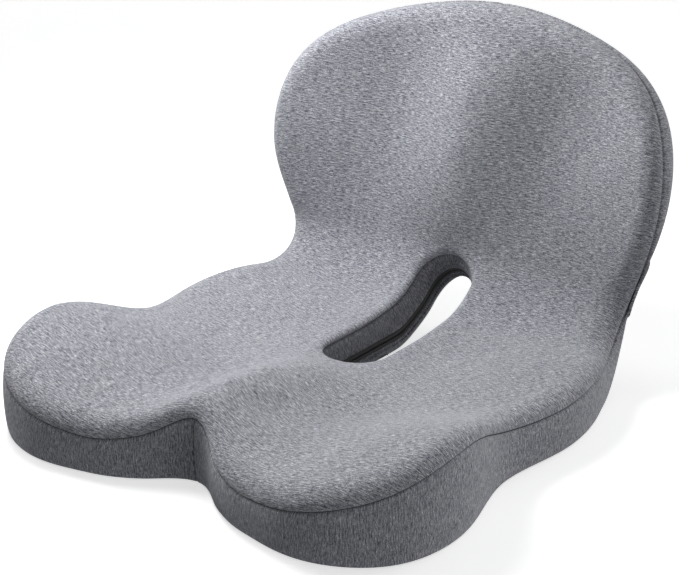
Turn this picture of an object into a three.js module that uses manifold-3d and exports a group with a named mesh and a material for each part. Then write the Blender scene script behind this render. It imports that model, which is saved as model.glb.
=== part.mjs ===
// A one-piece seat cushion with a low backrest: a bent foam core with a through-slot, a sewn knit cover in
// nine panels, and two zips. Millimetres, +X to the sitter's right, +Y to the rear, +Z up.
import * as THREE from "three";
import { LoftGeometry } from "three/addons/geometries/LoftGeometry.js";
import Module from "manifold-3d";

// ---- Side profile. The cushion is a bent sheet: u runs across it, s runs along it from the front notch,
// over the seat, through the bend and up the backrest. A height is measured from the underside or the rear.
const SEAT_HEIGHT = 54; // underside to the seat's reference face
const BEND_START = 298; // s where the seat ends and the bend begins
const FRONT_RADIUS = 55; // bend radius of the reference face
const HEEL_RADIUS = 67; // bend radius of the underside
const RECLINE = THREE.MathUtils.degToRad(17); // backrest from upright
const BACK_EDGE = 23; // backrest's thickness at its rim
const BACK_BELLY = 19; // how much thicker the middle of the backrest is
const WING = 26; // how far the backrest's sides come forward
const WING_REACH = 218; // u where a wing has come forward by WING

// ---- Outline, right half: control points [u, s, rise] of a closed cubic B-spline, mirrored across x = 0.
// rise is the edge seam's height over the reference face.
const OUTLINE = [
  [0, 2, 6], // front notch
  [23, -11, -10],
  [36, -24, -17],
  [65, -39, -22],
  [87, -43, -23], // front of the thigh lobe
  [138, -54, -15],
  [206, -18, 4],
  [216, 65, 27], // side of the thigh lobe
  [182, 136, -16], // waist
  [208, 215, -16], // seat's rear lobe
  [195, 290, -12],
  [165, 357, -26], // neck
  [207, 430, -9],
  [200, 517, 4], // widest part of the backrest
  [155, 571, -8],
  [71, 598, -12],
  [0, 608, -12], // top
];
const SPANS_STEPS = 3; // stations to each control point

// ---- Face relief: heights over the reference face at places [u, s, height] inside the outline, mirrored
// across x = 0. The ridges between the thighs and up the backrest are on the centre line.
const FACE_POINTS = [
  [0, 45, 18],
  [0, 85, 13],
  [0, 130, 2],
  [32, 45, 1],
  [38, 95, -5],
  [95, 20, -2],
  [90, 90, -8],
  [145, 60, 13],
  [70, 150, -13],
  [130, 150, -8],
  [60, 230, -16],
  [125, 230, -9],
  [60, 300, -13],
  [120, 310, -10],
  [0, 402, 4],
  [0, 430, 13],
  [0, 475, 20],
  [0, 530, 17],
  [36, 475, 8],
  [80, 430, -8],
  [85, 480, -9],
  [85, 530, -6],
  [140, 470, 2],
];
const SHOULDER = 21; // width of the rounded shoulder inside the edge seam
const CREST_SEAT = 14; // shoulder's rise over the edge seam, on the seat
const CREST_BACK = 18; // and on the backrest
const CREST_S = [230, 350]; // where one changes to the other
const FLARE = 6; // how much further out the slot's mouth is than its foot
const RIM_RADIUS = 6; // rounding at the slot's mouth
const RIM_DROP_SEAT = 13; // slot's mouth below the reference face, in the seat
const RIM_DROP_BACK = 6; // and in the bend
const RIM_DROP_S = [250, 345]; // where one changes to the other
const RIM_BLEND = 40; // how far from the slot the face is fitted to its mouth

// ---- Slot, a stadium on the sheet
const SLOT_START = 186;
const SLOT_END = 370;
const SLOT_RADIUS = 22;

// ---- Cover
const CLOTH = 1.2; // knit with its backing
const GAP = 0.3; // clearance between neighbouring pieces
const SEAM_GAP = 0.25; // how far each panel stops short of a seam line
const BASE_SEAM_S = 285; // where the base panel meets the heel panel

// ---- Zips: coil zips with a reversed coil, so that only the tape and the slider show
const TAPE_WIDTH = 3.5; // visible width of each tape
const TAPE_THICKNESS = 0.7;
const TAPE_DEPTH = 0.2; // tape's face below the cover's face
const CHAIN_SLIT = 1.6; // slit between the two tapes
const COIL_WIDTH = 2.4;
const COIL_THICKNESS = 1.6;
const SLOT_ZIP_HEIGHT = 14; // slot zip's centre line above the underside
const SLOT_ZIP_END = SLOT_START + SLOT_RADIUS + 2; // s of the slot zip's end, on the straight of the right wall
const SLOT_ZIP_START = SLOT_ZIP_END + 6; // s of its slider's end: the zip runs from here round to SLOT_ZIP_END
const BACK_ZIP_S = 398; // s of the rear zip's line
const BACK_ZIP_LENGTH = 240;
const ZIP_STOP_LENGTH = 2;

// ---- Slider and puller
const SLIDER_LENGTH = 11;
const SLIDER_WIDTH = 7.4;
const SLIDER_PLATE = 1.2;
const SLIDER_WEB = 0.8;
const BRIDGE_WIDTH = 2;
const BRIDGE_BAR = 1;
const BRIDGE_WINDOW = 1.9;
const BRIDGE_LENGTH = 8;
const PULLER_LENGTH = 20;
const PULLER_WIDTH = 6;
const PULLER_THICKNESS = 1;
const PULLER_WINDOW_LENGTH = 5.2;
const PIN_SIDES = 24;
const SLIDER_INSET = 3; // slider's rear end from the chain's end

// ---- Care label
const LABEL = { width: 26, length: 34, thickness: 0.5, x: 70 };

const UP = { sin: Math.sin(RECLINE), cos: Math.cos(RECLINE) };
const BEND_ANGLE = Math.PI / 2 - RECLINE;

// ---- The bent sheet ----
const smooth = (x) => {
  const t = THREE.MathUtils.clamp(x, 0, 1);
  return t * t * (3 - 2 * t);
};
const mix = THREE.MathUtils.lerp;

// Centres and ends of the two bends in the y-z plane, worked out so that the backrest has its thickness.
const faceCentre = [BEND_START, SEAT_HEIGHT + FRONT_RADIUS];
const faceEnd = [faceCentre[0] + FRONT_RADIUS * UP.cos, faceCentre[1] - FRONT_RADIUS * UP.sin];
const rearEnd = [faceEnd[0] + BACK_EDGE * UP.cos, faceEnd[1] - BACK_EDGE * UP.sin];
const heelLift = HEEL_RADIUS * (1 - UP.sin);
const rearRun = (rearEnd[1] - heelLift) / UP.cos; // straight stretch between the heel and rearEnd
const heelCentreY = rearEnd[0] - rearRun * UP.sin - HEEL_RADIUS * UP.cos;
const baseRun = heelCentreY - BEND_START;
const heelArc = HEEL_RADIUS * BEND_ANGLE;
const undersideBend = baseRun + heelArc + rearRun;
const BEND_LENGTH = mix(FRONT_RADIUS * BEND_ANGLE, undersideBend, 0.35); // length of the bend in s
const BEND_END = BEND_START + BEND_LENGTH;

function facePoint(s) {
  if (s <= BEND_START) return [s, SEAT_HEIGHT];
  const angle = Math.min((s - BEND_START) / BEND_LENGTH, 1) * BEND_ANGLE;
  const past = Math.max(s - BEND_END, 0);
  return [
    faceCentre[0] + FRONT_RADIUS * Math.sin(angle) + past * UP.sin,
    faceCentre[1] - FRONT_RADIUS * Math.cos(angle) + past * UP.cos,
  ];
}

function rearPoint(s) {
  if (s <= BEND_START) return [s, 0];
  const past = Math.max(s - BEND_END, 0);
  const run = Math.min((s - BEND_START) / BEND_LENGTH, 1) * undersideBend;
  if (run < baseRun) return [BEND_START + run, 0];
  const angle = Math.min((run - baseRun) / HEEL_RADIUS, BEND_ANGLE);
  const straight = Math.max(run - baseRun - heelArc, 0) + past;
  return [
    heelCentreY + HEEL_RADIUS * Math.sin(angle) + straight * UP.sin,
    HEEL_RADIUS * (1 - Math.cos(angle)) + straight * UP.cos,
  ];
}

function thickness(s) {
  const face = facePoint(s);
  const rear = rearPoint(s);
  return Math.hypot(face[0] - rear[0], face[1] - rear[1]);
}

const wingShift = (u, s) => WING * (u / WING_REACH) ** 2 * smooth((s - BEND_START) / (BEND_LENGTH + 65));
const bellyShift = (s) => -BACK_BELLY * smooth((s - BEND_START - 0.2 * BEND_LENGTH) / (0.7 * BEND_LENGTH));

// The point at height h over the underside or rear of the sheet.
function place(u, s, h) {
  const face = facePoint(s);
  const rear = rearPoint(s);
  const t = (h + wingShift(u, s)) / thickness(s);
  return new THREE.Vector3(u, mix(rear[0], face[0], t), mix(rear[1], face[1], t));
}

// ---- Stations: places round the outline, each with a line across the sheet to the slot ----
const loop = [...OUTLINE, ...OUTLINE.slice(1, -1).reverse().map(([u, s, rise]) => [-u, s, rise])];

function outlineAt(t) {
  const i = Math.floor(t);
  const f = t - i;
  const weights = [
    (1 - f) ** 3 / 6,
    (3 * f ** 3 - 6 * f ** 2 + 4) / 6,
    (-3 * f ** 3 + 3 * f ** 2 + 3 * f + 1) / 6,
    f ** 3 / 6,
  ];
  const sum = [0, 0, 0];
  weights.forEach((w, k) => {
    const p = loop[(i + k - 1 + loop.length) % loop.length];
    p.forEach((value, axis) => (sum[axis] += w * value));
  });
  return sum;
}

function stationAt(t) {
  const [u, s, rise] = outlineAt(t);
  const centre = THREE.MathUtils.clamp(s, SLOT_START + SLOT_RADIUS, SLOT_END - SLOT_RADIUS);
  const reach = Math.hypot(u, s - centre);
  const dir = [u / reach, (s - centre) / reach];
  return { t, rise, dir, foot: [dir[0] * SLOT_RADIUS, centre + dir[1] * SLOT_RADIUS], span: reach - SLOT_RADIUS };
}

// The outline parameter on the right side where the outline passes a given s in the seat's rear lobe.
function outlineParameter(s) {
  let low = 8.5;
  let high = 11;
  while (high - low > 1e-4) {
    const middle = (low + high) / 2;
    if (outlineAt(middle)[1] < s) low = middle;
    else high = middle;
  }
  return low;
}

// Extra stations: the two ends of the slot zip, and the start of the bend on both sides, so that the slot's
// wall is straight as far as the bend.
const zipStart = outlineParameter(SLOT_ZIP_START);
const zipEnd = outlineParameter(SLOT_ZIP_END);
const bendStart = outlineParameter(BEND_START);
const extra = [zipStart, zipEnd, bendStart, loop.length - bendStart];
const regular = Array.from({ length: loop.length * SPANS_STEPS }, (_, i) => i / SPANS_STEPS);
const clear = regular.filter((t) => extra.every((other) => Math.abs(t - other) > 0.1));
const stations = [...clear, ...extra].sort((a, b) => a - b).map(stationAt);

// ---- Section of the cushion at a station: points from the slot's foot, up its wall, over the face, down the
// side band and back under. The wall is upright as far as the zip and flares from there to the mouth. Each
// point has a, the distance from the slot, and h, the height.
const zipHalf = CHAIN_SLIT / 2;
const WALL_STEPS = [
  -zipHalf - TAPE_WIDTH - GAP,
  -zipHalf - TAPE_WIDTH,
  -zipHalf - COIL_WIDTH,
  -zipHalf,
  zipHalf,
  zipHalf + COIL_WIDTH,
  zipHalf + TAPE_WIDTH,
  zipHalf + TAPE_WIDTH + GAP,
].map((step) => SLOT_ZIP_HEIGHT + step);
const WALL = {
  foot: 0,
  lowerEnd: 1,
  lowerTape: 2,
  lowerCoil: 3,
  lowerSlit: 4,
  upperSlit: 5,
  upperCoil: 6,
  upperTape: 7,
  upperEnd: 8,
  top: 9,
};
const RIM_STEPS = 3;
const FACE_STEPS = 8;
const SHOULDER_STEPS = 4;
const BASE_STEPS = [0.93, 0.75, 0.5, 0.25];
const SEAM = WALL.top + RIM_STEPS + FACE_STEPS + SHOULDER_STEPS;
const EDGE = SEAM + 1;

const between = ([low, high], [from, to], s) => mix(low, high, smooth((s - from) / (to - from)));
const rimDrop = (s) => between([RIM_DROP_SEAT, RIM_DROP_BACK], RIM_DROP_S, s);
const crest = (s) => between([CREST_SEAT, CREST_BACK], CREST_S, s);

// Solves linear equations, each a row of coefficients and its right-hand side, by elimination.
function solve(equations) {
  const size = equations.length;
  for (let c = 0; c < size; c++) {
    let pivot = c;
    for (let r = c + 1; r < size; r++) {
      if (Math.abs(equations[r][c]) > Math.abs(equations[pivot][c])) pivot = r;
    }
    [equations[c], equations[pivot]] = [equations[pivot], equations[c]];
    for (let r = 0; r < size; r++) {
      if (r === c) continue;
      const share = equations[r][c] / equations[c][c];
      for (let k = c; k <= size; k++) equations[r][k] -= share * equations[c][k];
    }
  }
  return equations.map((row, r) => row[size] / row[r]);
}

// The smooth surface of least bending (a thin-plate spline) through nodes [u, s, height].
function thinPlate(nodes) {
  const unit = 100; // keeps the equations well scaled
  const kernel = (u, s) => {
    const squared = (u * u + s * s) / unit ** 2;
    return squared > 0 ? squared * Math.log(squared) : 0;
  };
  const flat = [() => 1, ([u]) => u / unit, ([, s]) => s / unit];
  const equations = nodes.map((node) => {
    const bends = nodes.map((other) => kernel(node[0] - other[0], node[1] - other[1]));
    return [...bends, ...flat.map((side) => side(node)), node[2]];
  });
  flat.forEach((side) => equations.push([...nodes.map(side), 0, 0, 0, 0]));
  const weights = solve(equations);
  return (u, s) => {
    const bent = nodes.reduce((sum, node, i) => sum + weights[i] * kernel(u - node[0], s - node[1]), 0);
    return flat.reduce((sum, side, i) => sum + weights[nodes.length + i] * side([u, s]), bent);
  };
}

// Half of the slot's mouth, from its front end to its rear end.
const slotCentres = [SLOT_START + SLOT_RADIUS, SLOT_END - SLOT_RADIUS];
const mouthPlaces = [[-90, 0], [-45, 0], [0, 0], [0, 1 / 3], [0, 2 / 3], [0, 1], [45, 1], [90, 1]];
const mouthNodes = mouthPlaces.map(([degrees, share]) => {
  const angle = THREE.MathUtils.degToRad(degrees);
  const radius = SLOT_RADIUS + FLARE;
  const s = mix(...slotCentres, share) + radius * Math.sin(angle);
  return [radius * Math.cos(angle), s, -rimDrop(s)];
});
const mirrored = (nodes) => [...nodes, ...nodes.filter(([u]) => u > 0.01).map(([u, s, h]) => [-u, s, h])];
const edgeNodes = Array.from({ length: 2 * loop.length }, (_, i) => {
  const [u, s, rise] = outlineAt(i / 2);
  return [u, s, rise + crest(s)];
});
const relief = thinPlate([...edgeNodes, ...mirrored(mouthNodes), ...mirrored(FACE_POINTS)]);

function section(station) {
  const { foot, dir, span, rise } = station;
  const at = (a) => [foot[0] + dir[0] * a, foot[1] + dir[1] * a];
  const base = (a) => {
    const [u, s] = at(a);
    const inner = smooth((span - a) / 60);
    return inner * (bellyShift(s) - wingShift(u, s));
  };
  const edgeError = rise + crest(at(span)[1]) - relief(...at(span));
  const mouthError = -rimDrop(at(FLARE)[1]) - relief(...at(FLARE));
  const face = (a) => {
    const [u, s] = at(a);
    const fitted = edgeError * smooth(a / span) + mouthError * smooth(1 - (a - FLARE) / RIM_BLEND);
    return thickness(s) + relief(u, s) + fitted;
  };
  const points = [];
  const add = (a, h) => points.push(place(...at(a), h));
  add(0, base(0));
  WALL_STEPS.forEach((step) => add(0, base(0) + step));
  for (let i = 0; i <= RIM_STEPS; i++) {
    const angle = (i / RIM_STEPS) * (Math.PI / 2);
    const a = FLARE + RIM_RADIUS * (1 - Math.cos(angle));
    add(a, face(a) - RIM_RADIUS * (1 - Math.sin(angle)));
  }
  for (let i = 1; i <= FACE_STEPS; i++) {
    const a = mix(FLARE + RIM_RADIUS, span - SHOULDER, i / FACE_STEPS);
    add(a, face(a));
  }
  for (let i = 1; i <= SHOULDER_STEPS; i++) {
    const angle = (i / SHOULDER_STEPS) * (Math.PI / 2);
    const a = span - SHOULDER * (1 - Math.sin(angle));
    add(a, face(a) - crest(at(span)[1]) * (1 - Math.cos(angle)));
  }
  add(span, 0);
  BASE_STEPS.forEach((share) => add(span * share, base(span * share)));
  return points;
}

const skin = stations.map(section);
const rows = skin.length;
const columns = skin[0].length;
const wrap = (i, n) => (i + n) % n;

// Outward normal at each point of the skin, lengthened at corners so that an offset keeps its distance.
function mitreNormal(i, j) {
  const p = skin[i][j];
  const around = [skin[wrap(i + 1, rows)][j], skin[i][wrap(j + 1, columns)]];
  around.push(skin[wrap(i - 1, rows)][j], skin[i][wrap(j - 1, columns)]);
  const arms = around.map((q) => q.clone().sub(p));
  const faces = arms.map((arm, k) => new THREE.Vector3().crossVectors(arms[(k + 1) % 4], arm).normalize());
  const sum = faces.reduce((total, n) => total.add(n), new THREE.Vector3()).normalize();
  const share = faces.reduce((total, n) => total + n.dot(sum), 0) / faces.length;
  return sum.divideScalar(share);
}

const normals = skin.map((row, i) => row.map((_, j) => mitreNormal(i, j)));
const inset = (i, j, depth) => skin[i][j].clone().addScaledVector(normals[i][j], -depth);

// ---- Pieces that run round the stations ----

// The closed solid between two layers of the skin, each a grid of rows of points. Both layers are split along
// the same diagonals, so that neighbouring layers nest.
function layerGeometry(outer, inner, closed) {
  const width = outer[0].length;
  const points = [...outer, ...inner].flat();
  const index = [];
  const at = (layer, i, k) => (layer * outer.length + (i % outer.length)) * width + k;
  const quad = (a, b, c, d) => index.push(a, b, d, b, c, d);
  const strips = closed ? outer.length : outer.length - 1;
  for (let i = 0; i < strips; i++) {
    for (let k = 0; k < width - 1; k++) {
      quad(at(0, i, k), at(0, i, k + 1), at(0, i + 1, k + 1), at(0, i + 1, k));
      index.push(at(1, i, k), at(1, i + 1, k), at(1, i, k + 1));
      index.push(at(1, i, k + 1), at(1, i + 1, k), at(1, i + 1, k + 1));
    }
    quad(at(1, i, 0), at(0, i, 0), at(0, i + 1, 0), at(1, i + 1, 0));
    quad(at(0, i, width - 1), at(1, i, width - 1), at(1, i + 1, width - 1), at(0, i + 1, width - 1));
  }
  for (let k = 0; k < width - 1 && !closed; k++) {
    quad(at(0, 0, k + 1), at(0, 0, k), at(1, 0, k), at(1, 0, k + 1));
    quad(at(0, strips, k), at(0, strips, k + 1), at(1, strips, k + 1), at(1, strips, k));
  }
  const geometry = new THREE.BufferGeometry().setFromPoints(points);
  geometry.setIndex(index);
  geometry.computeVertexNormals();
  return geometry;
}

const pull = (end, next, distance) => end.clone().addScaledVector(next.clone().sub(end).normalize(), distance);

// One row of a layer: the skin's points between two columns at a depth, stopped short at both ends.
function layerRow(i, first, last, depth, shorten) {
  const points = [];
  for (let j = first; j <= last; j++) points.push(inset(i, wrap(j, columns), depth));
  const start = pull(points[0], points[1], shorten);
  const finish = pull(points.at(-1), points.at(-2), shorten);
  return [start, ...points.slice(1, -1), finish];
}

// A panel of the skin that runs all the way round.
function strip(first, last, top, bottom, shorten = SEAM_GAP) {
  const layer = (depth) => skin.map((_, i) => layerRow(i, first, last, depth, shorten));
  return layerGeometry(layer(top), layer(bottom), true);
}

// A panel of the skin from one station to another, stopped short at both.
function openStrip(from, count, first, last, top, bottom, endGap, shorten = SEAM_GAP) {
  const layer = (depth) => {
    const grid = [];
    for (let k = 0; k <= count; k++) grid.push(layerRow(wrap(from + k, rows), first, last, depth, shorten));
    const start = grid[0].map((p, k) => pull(p, grid[1][k], endGap));
    const finish = grid.at(-1).map((p, k) => pull(p, grid.at(-2)[k], endGap));
    return [start, ...grid.slice(1, -1), finish];
  };
  return layerGeometry(layer(top), layer(bottom), false);
}

// ---- Cutting with manifold-3d ----
const wasm = await Module();
wasm.setup();

function toSolid(geometry, matrix = new THREE.Matrix4()) {
  const flat = geometry.index ? geometry.toNonIndexed() : geometry.clone();
  const bare = new THREE.BufferGeometry().setAttribute("position", flat.getAttribute("position"));
  bare.applyMatrix4(matrix);
  const keys = new Map();
  const places = [];
  const corners = [];
  const position = bare.getAttribute("position");
  for (let i = 0; i < position.count; i++) {
    const p = [position.getX(i), position.getY(i), position.getZ(i)];
    const key = p.map((value) => Math.round(value * 1e4)).join(",");
    if (!keys.has(key)) {
      keys.set(key, keys.size);
      places.push(...p);
    }
    corners.push(keys.get(key));
  }
  const triVerts = [];
  for (let i = 0; i < corners.length; i += 3) {
    const [a, b, c] = corners.slice(i, i + 3);
    if (a !== b && b !== c && c !== a) triVerts.push(a, b, c);
  }
  const mesh = new wasm.Mesh({
    numProp: 3,
    vertProperties: new Float32Array(places),
    triVerts: new Uint32Array(triVerts),
  });
  return new wasm.Manifold(mesh);
}

function toGeometry(solid) {
  const mesh = solid.getMesh();
  const position = new Float32Array(mesh.numVert * 3);
  for (let i = 0; i < mesh.numVert; i++) {
    position.set(mesh.vertProperties.subarray(i * mesh.numProp, i * mesh.numProp + 3), i * 3);
  }
  const geometry = new THREE.BufferGeometry();
  geometry.setAttribute("position", new THREE.BufferAttribute(position, 3));
  geometry.setIndex(new THREE.BufferAttribute(mesh.triVerts, 1));
  geometry.computeVertexNormals();
  return geometry;
}

// ---- Rear zip's frame: x along the zip, y up the backrest, z out of its rear ----
const backZipOrigin = place(0, BACK_ZIP_S, bellyShift(BACK_ZIP_S));
const backZipFrame = new THREE.Matrix4().makeBasis(
  new THREE.Vector3(-1, 0, 0),
  new THREE.Vector3(0, UP.sin, UP.cos),
  new THREE.Vector3(0, UP.cos, -UP.sin),
);
backZipFrame.setPosition(backZipOrigin);
const backBox = (x, y, z) => {
  const box = new THREE.BoxGeometry(x[1] - x[0], y[1] - y[0], z[1] - z[0]);
  box.translate((x[0] + x[1]) / 2, (y[0] + y[1]) / 2, (z[0] + z[1]) / 2);
  return box;
};
const CUT_REACH = 300; // half width of a cut that runs right across the cushion
const CUT_DEPTH = 60;
const MOUTH_DEPTH = 10; // depth of the cut that opens the cover behind the rear zip
const mouthHalf = zipHalf + TAPE_WIDTH + GAP;
const chainEnd = BACK_ZIP_LENGTH / 2;
const mouthEnd = chainEnd + ZIP_STOP_LENGTH + 2 * GAP;
const chainFloor = TAPE_DEPTH + TAPE_THICKNESS + GAP + COIL_THICKNESS;
const sliderDepth = chainFloor + GAP + SLIDER_PLATE;
const GROOVE_DEPTH = sliderDepth + 0.7;

const skinShell = toSolid(strip(EDGE, columns, 0, CLOTH));
const zipLineCut = toSolid(
  backBox([-CUT_REACH, CUT_REACH], [-SEAM_GAP, SEAM_GAP], [-CUT_DEPTH, 5]), backZipFrame,
);
const zipMouth = toSolid(
  backBox([-mouthEnd, mouthEnd], [-mouthHalf, mouthHalf], [-MOUTH_DEPTH, 5]), backZipFrame,
);
const baseSeamCut = toSolid(
  backBox([-CUT_REACH, CUT_REACH], [BASE_SEAM_S - SEAM_GAP, BASE_SEAM_S + SEAM_GAP], [-5, 5]),
);
const underside = skinShell.subtract(zipLineCut).subtract(zipMouth).subtract(baseSeamCut).decompose();
const middleY = (solid) => {
  const box = solid.boundingBox();
  return (box.min[1] + box.max[1]) / 2;
};
const [basePanel, heelPanel, backPanel] = underside.sort((a, b) => middleY(a) - middleY(b));

// ---- Foam core: the skin set in by the cloth and a gap, with a groove behind each zip ----
const foamDepth = (j) => {
  const inGroove = j >= WALL.lowerTape && j <= WALL.upperTape;
  return CLOTH + GAP + (inGroove ? GROOVE_DEPTH - CLOTH : 0);
};
const foamRows = skin.map((row, i) => row.map((_, j) => inset(i, j, foamDepth(j))));
const foamRing = new LoftGeometry([...foamRows, foamRows[0]]);
const backGroove = toSolid(
  backBox(
    [-mouthEnd - 2, mouthEnd + 2],
    [-SLIDER_WIDTH / 2 - 1, SLIDER_WIDTH / 2 + 1],
    [-GROOVE_DEPTH - GAP, 5],
  ),
  backZipFrame,
);
const foamCore = toSolid(foamRing).subtract(backGroove);

// ---- Zip slider and puller, in a frame with x along the zip, y across it and z out of the cover ----
const block = (x, y, z) => toSolid(backBox(x, y, z));
const half = (size) => [-size / 2, size / 2];

function sliderGeometry() {
  const front = block(half(SLIDER_LENGTH), half(SLIDER_WIDTH), [GAP, GAP + SLIDER_PLATE]);
  const web = block(half(SLIDER_LENGTH - 2), half(SLIDER_WEB), [-sliderDepth, GAP + SLIDER_PLATE]);
  const back = block(half(SLIDER_LENGTH), half(SLIDER_WIDTH), [-sliderDepth, -sliderDepth + SLIDER_PLATE]);
  const lid = GAP + SLIDER_PLATE;
  const bridge = block(half(BRIDGE_LENGTH), half(BRIDGE_WIDTH), [lid - 0.2, lid + BRIDGE_WINDOW + BRIDGE_BAR]);
  const window = block(half(BRIDGE_LENGTH - 2 * BRIDGE_BAR), half(BRIDGE_WIDTH + 2), [lid, lid + BRIDGE_WINDOW]);
  return toGeometry(wasm.Manifold.union([front, web, back, bridge.subtract(window)]));
}

const PULLER_AXIS = GAP + SLIDER_PLATE + BRIDGE_WINDOW / 2; // hinge line above the cover's face

// A flat tab with a window and a round pin at the hinge line.
function pullerGeometry() {
  const plate = new THREE.Shape();
  const side = PULLER_WIDTH / 2;
  plate.moveTo(0, -side);
  plate.lineTo(PULLER_LENGTH - side, -side);
  plate.absarc(PULLER_LENGTH - side, 0, side, -Math.PI / 2, Math.PI / 2);
  plate.lineTo(0, side);
  plate.closePath();
  const inner = BRIDGE_WIDTH / 2 + 0.5;
  const hole = block([-PULLER_THICKNESS, PULLER_WINDOW_LENGTH], [-inner, inner], half(2 * PULLER_THICKNESS));
  const options = { depth: PULLER_THICKNESS, bevelEnabled: false, curveSegments: 8 };
  const tab = new THREE.ExtrudeGeometry(plate, options).translate(0, 0, -PULLER_THICKNESS / 2);
  const pin = new THREE.CylinderGeometry(PULLER_THICKNESS / 2, PULLER_THICKNESS / 2, PULLER_WIDTH, PIN_SIDES);
  return toGeometry(toSolid(tab).subtract(hole).add(toSolid(pin)));
}

// ---- Materials ----
const cloth = (color) => new THREE.MeshStandardMaterial({ color, roughness: 0.95, metalness: 0 });
const KNIT = cloth(0x8e929c);
const FOAM = cloth(0xe9e2cc);
const BLACK_CLOTH = cloth(0x24262b);
const TAPE = cloth(0x17181a);
const LABEL_CLOTH = cloth(0xf0efec);
const NYLON = new THREE.MeshStandardMaterial({ color: 0x1b1c1f, roughness: 0.5, metalness: 0 });
const METAL = new THREE.MeshStandardMaterial({ color: 0x55585e, roughness: 0.35, metalness: 0.9 });

const cushion = new THREE.Group();

function addMesh(parent, name, geometry, material) {
  const mesh = new THREE.Mesh(geometry, material);
  mesh.name = name;
  parent.add(mesh);
  return mesh;
}

// ---- Cover and core ----
addMesh(cushion, "foam_core", toGeometry(foamCore), FOAM);
addMesh(cushion, "face_panel", strip(WALL.top, SEAM, 0, CLOTH), KNIT);
const notchRow = 0;
const topRow = stations.findIndex((station) => station.t === loop.length / 2);
const rightBand = openStrip(notchRow, topRow, SEAM, EDGE, 0, CLOTH, SEAM_GAP);
const leftBand = openStrip(topRow, rows - topRow, SEAM, EDGE, 0, CLOTH, SEAM_GAP);
addMesh(cushion, "side_band_right", rightBand, KNIT);
addMesh(cushion, "side_band_left", leftBand, KNIT);
addMesh(cushion, "base_panel", toGeometry(basePanel), BLACK_CLOTH);
addMesh(cushion, "heel_panel", toGeometry(heelPanel), KNIT);
addMesh(cushion, "back_panel", toGeometry(backPanel), KNIT);
addMesh(cushion, "slot_liner_upper", strip(WALL.upperEnd, WALL.top, 0, CLOTH, SEAM_GAP), KNIT);
addMesh(cushion, "slot_liner_lower", strip(WALL.foot, WALL.lowerEnd, 0, CLOTH, SEAM_GAP), KNIT);

// ---- Slot zip ----
const startRow = stations.findIndex((station) => station.t === zipStart);
const endRow = stations.findIndex((station) => station.t === zipEnd);
const zipRows = rows - (startRow - endRow);
const tapeFloor = TAPE_DEPTH + TAPE_THICKNESS;
const coilTop = tapeFloor + GAP;
const slotTape = (first, last) => strip(first, last, TAPE_DEPTH, tapeFloor, 0);
const slotCoil = (first, last) => openStrip(startRow, zipRows, first, last, coilTop, chainFloor, 0, 0);
addMesh(cushion, "slot_zip_tape_lower", slotTape(WALL.lowerTape, WALL.lowerSlit), TAPE);
addMesh(cushion, "slot_zip_tape_upper", slotTape(WALL.upperSlit, WALL.upperTape), TAPE);
addMesh(cushion, "slot_zip_coil_lower", slotCoil(WALL.lowerCoil, WALL.lowerSlit), NYLON);
addMesh(cushion, "slot_zip_coil_upper", slotCoil(WALL.upperSlit, WALL.upperCoil), NYLON);

// Places a zip's slider, puller and stops; its frame is at the chain's start, x along the slider's travel.
function addZipHardware(prefix, frame, stopPlaces) {
  const holder = new THREE.Group();
  frame.decompose(holder.position, holder.quaternion, holder.scale);
  cushion.add(holder);
  const sliderX = SLIDER_INSET + SLIDER_LENGTH / 2;
  addMesh(holder, prefix + "_slider", sliderGeometry(), METAL).position.set(sliderX, 0, 0);
  addMesh(holder, prefix + "_puller", pullerGeometry(), METAL).position.set(sliderX, 0, PULLER_AXIS);
  const stopSpan = CHAIN_SLIT + 2 * COIL_WIDTH;
  stopPlaces.forEach(([name, x]) => {
    const stop = new THREE.BoxGeometry(ZIP_STOP_LENGTH, stopSpan, COIL_THICKNESS);
    addMesh(holder, prefix + name, stop, METAL).position.set(x, 0, -coilTop - COIL_THICKNESS / 2);
  });
}

const slotZipFrame = new THREE.Matrix4().makeBasis(
  new THREE.Vector3(0, 1, 0),
  new THREE.Vector3(0, 0, -1),
  new THREE.Vector3(-1, 0, 0),
);
slotZipFrame.setPosition(SLOT_RADIUS, SLOT_ZIP_START, SLOT_ZIP_HEIGHT);
const stopOffset = ZIP_STOP_LENGTH / 2 + GAP;
addZipHardware("slot_zip", slotZipFrame, [
  ["_top_stop", -stopOffset],
  ["_bottom_stop", SLOT_ZIP_END - SLOT_ZIP_START + stopOffset],
]);

// ---- Rear zip ----
const backZipStart = backZipFrame.clone().multiply(new THREE.Matrix4().makeTranslation(-chainEnd, 0, 0));
const backZip = new THREE.Group();
backZipFrame.decompose(backZip.position, backZip.quaternion, backZip.scale);
cushion.add(backZip);
for (const [name, side] of [["lower", -1], ["upper", 1]]) {
  const span = (near, far) => [side * near, side * far].sort((a, b) => a - b);
  const tapeAcross = span(zipHalf, zipHalf + TAPE_WIDTH);
  const coilAcross = span(zipHalf, zipHalf + COIL_WIDTH);
  const tapeAlong = half(2 * mouthEnd - 2 * GAP);
  const tape = backBox(tapeAlong, tapeAcross, [-tapeFloor, -TAPE_DEPTH]);
  const coil = backBox(half(BACK_ZIP_LENGTH), coilAcross, [-chainFloor, -coilTop]);
  addMesh(backZip, "back_zip_tape_" + name, tape, TAPE);
  addMesh(backZip, "back_zip_coil_" + name, coil, NYLON);
}
addZipHardware("back_zip", backZipStart, [
  ["_top_stop", -stopOffset],
  ["_bottom_stop", BACK_ZIP_LENGTH + stopOffset],
]);

// ---- Care label, sewn in below the rear zip and lying on the heel panel ----
const labelTop = -mouthHalf - GAP;
const label = backBox(
  [LABEL.x - LABEL.width / 2, LABEL.x + LABEL.width / 2],
  [labelTop - LABEL.length, labelTop],
  [GAP, GAP + LABEL.thickness],
);
addMesh(backZip, "care_label", label, LABEL_CLOTH);

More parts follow.
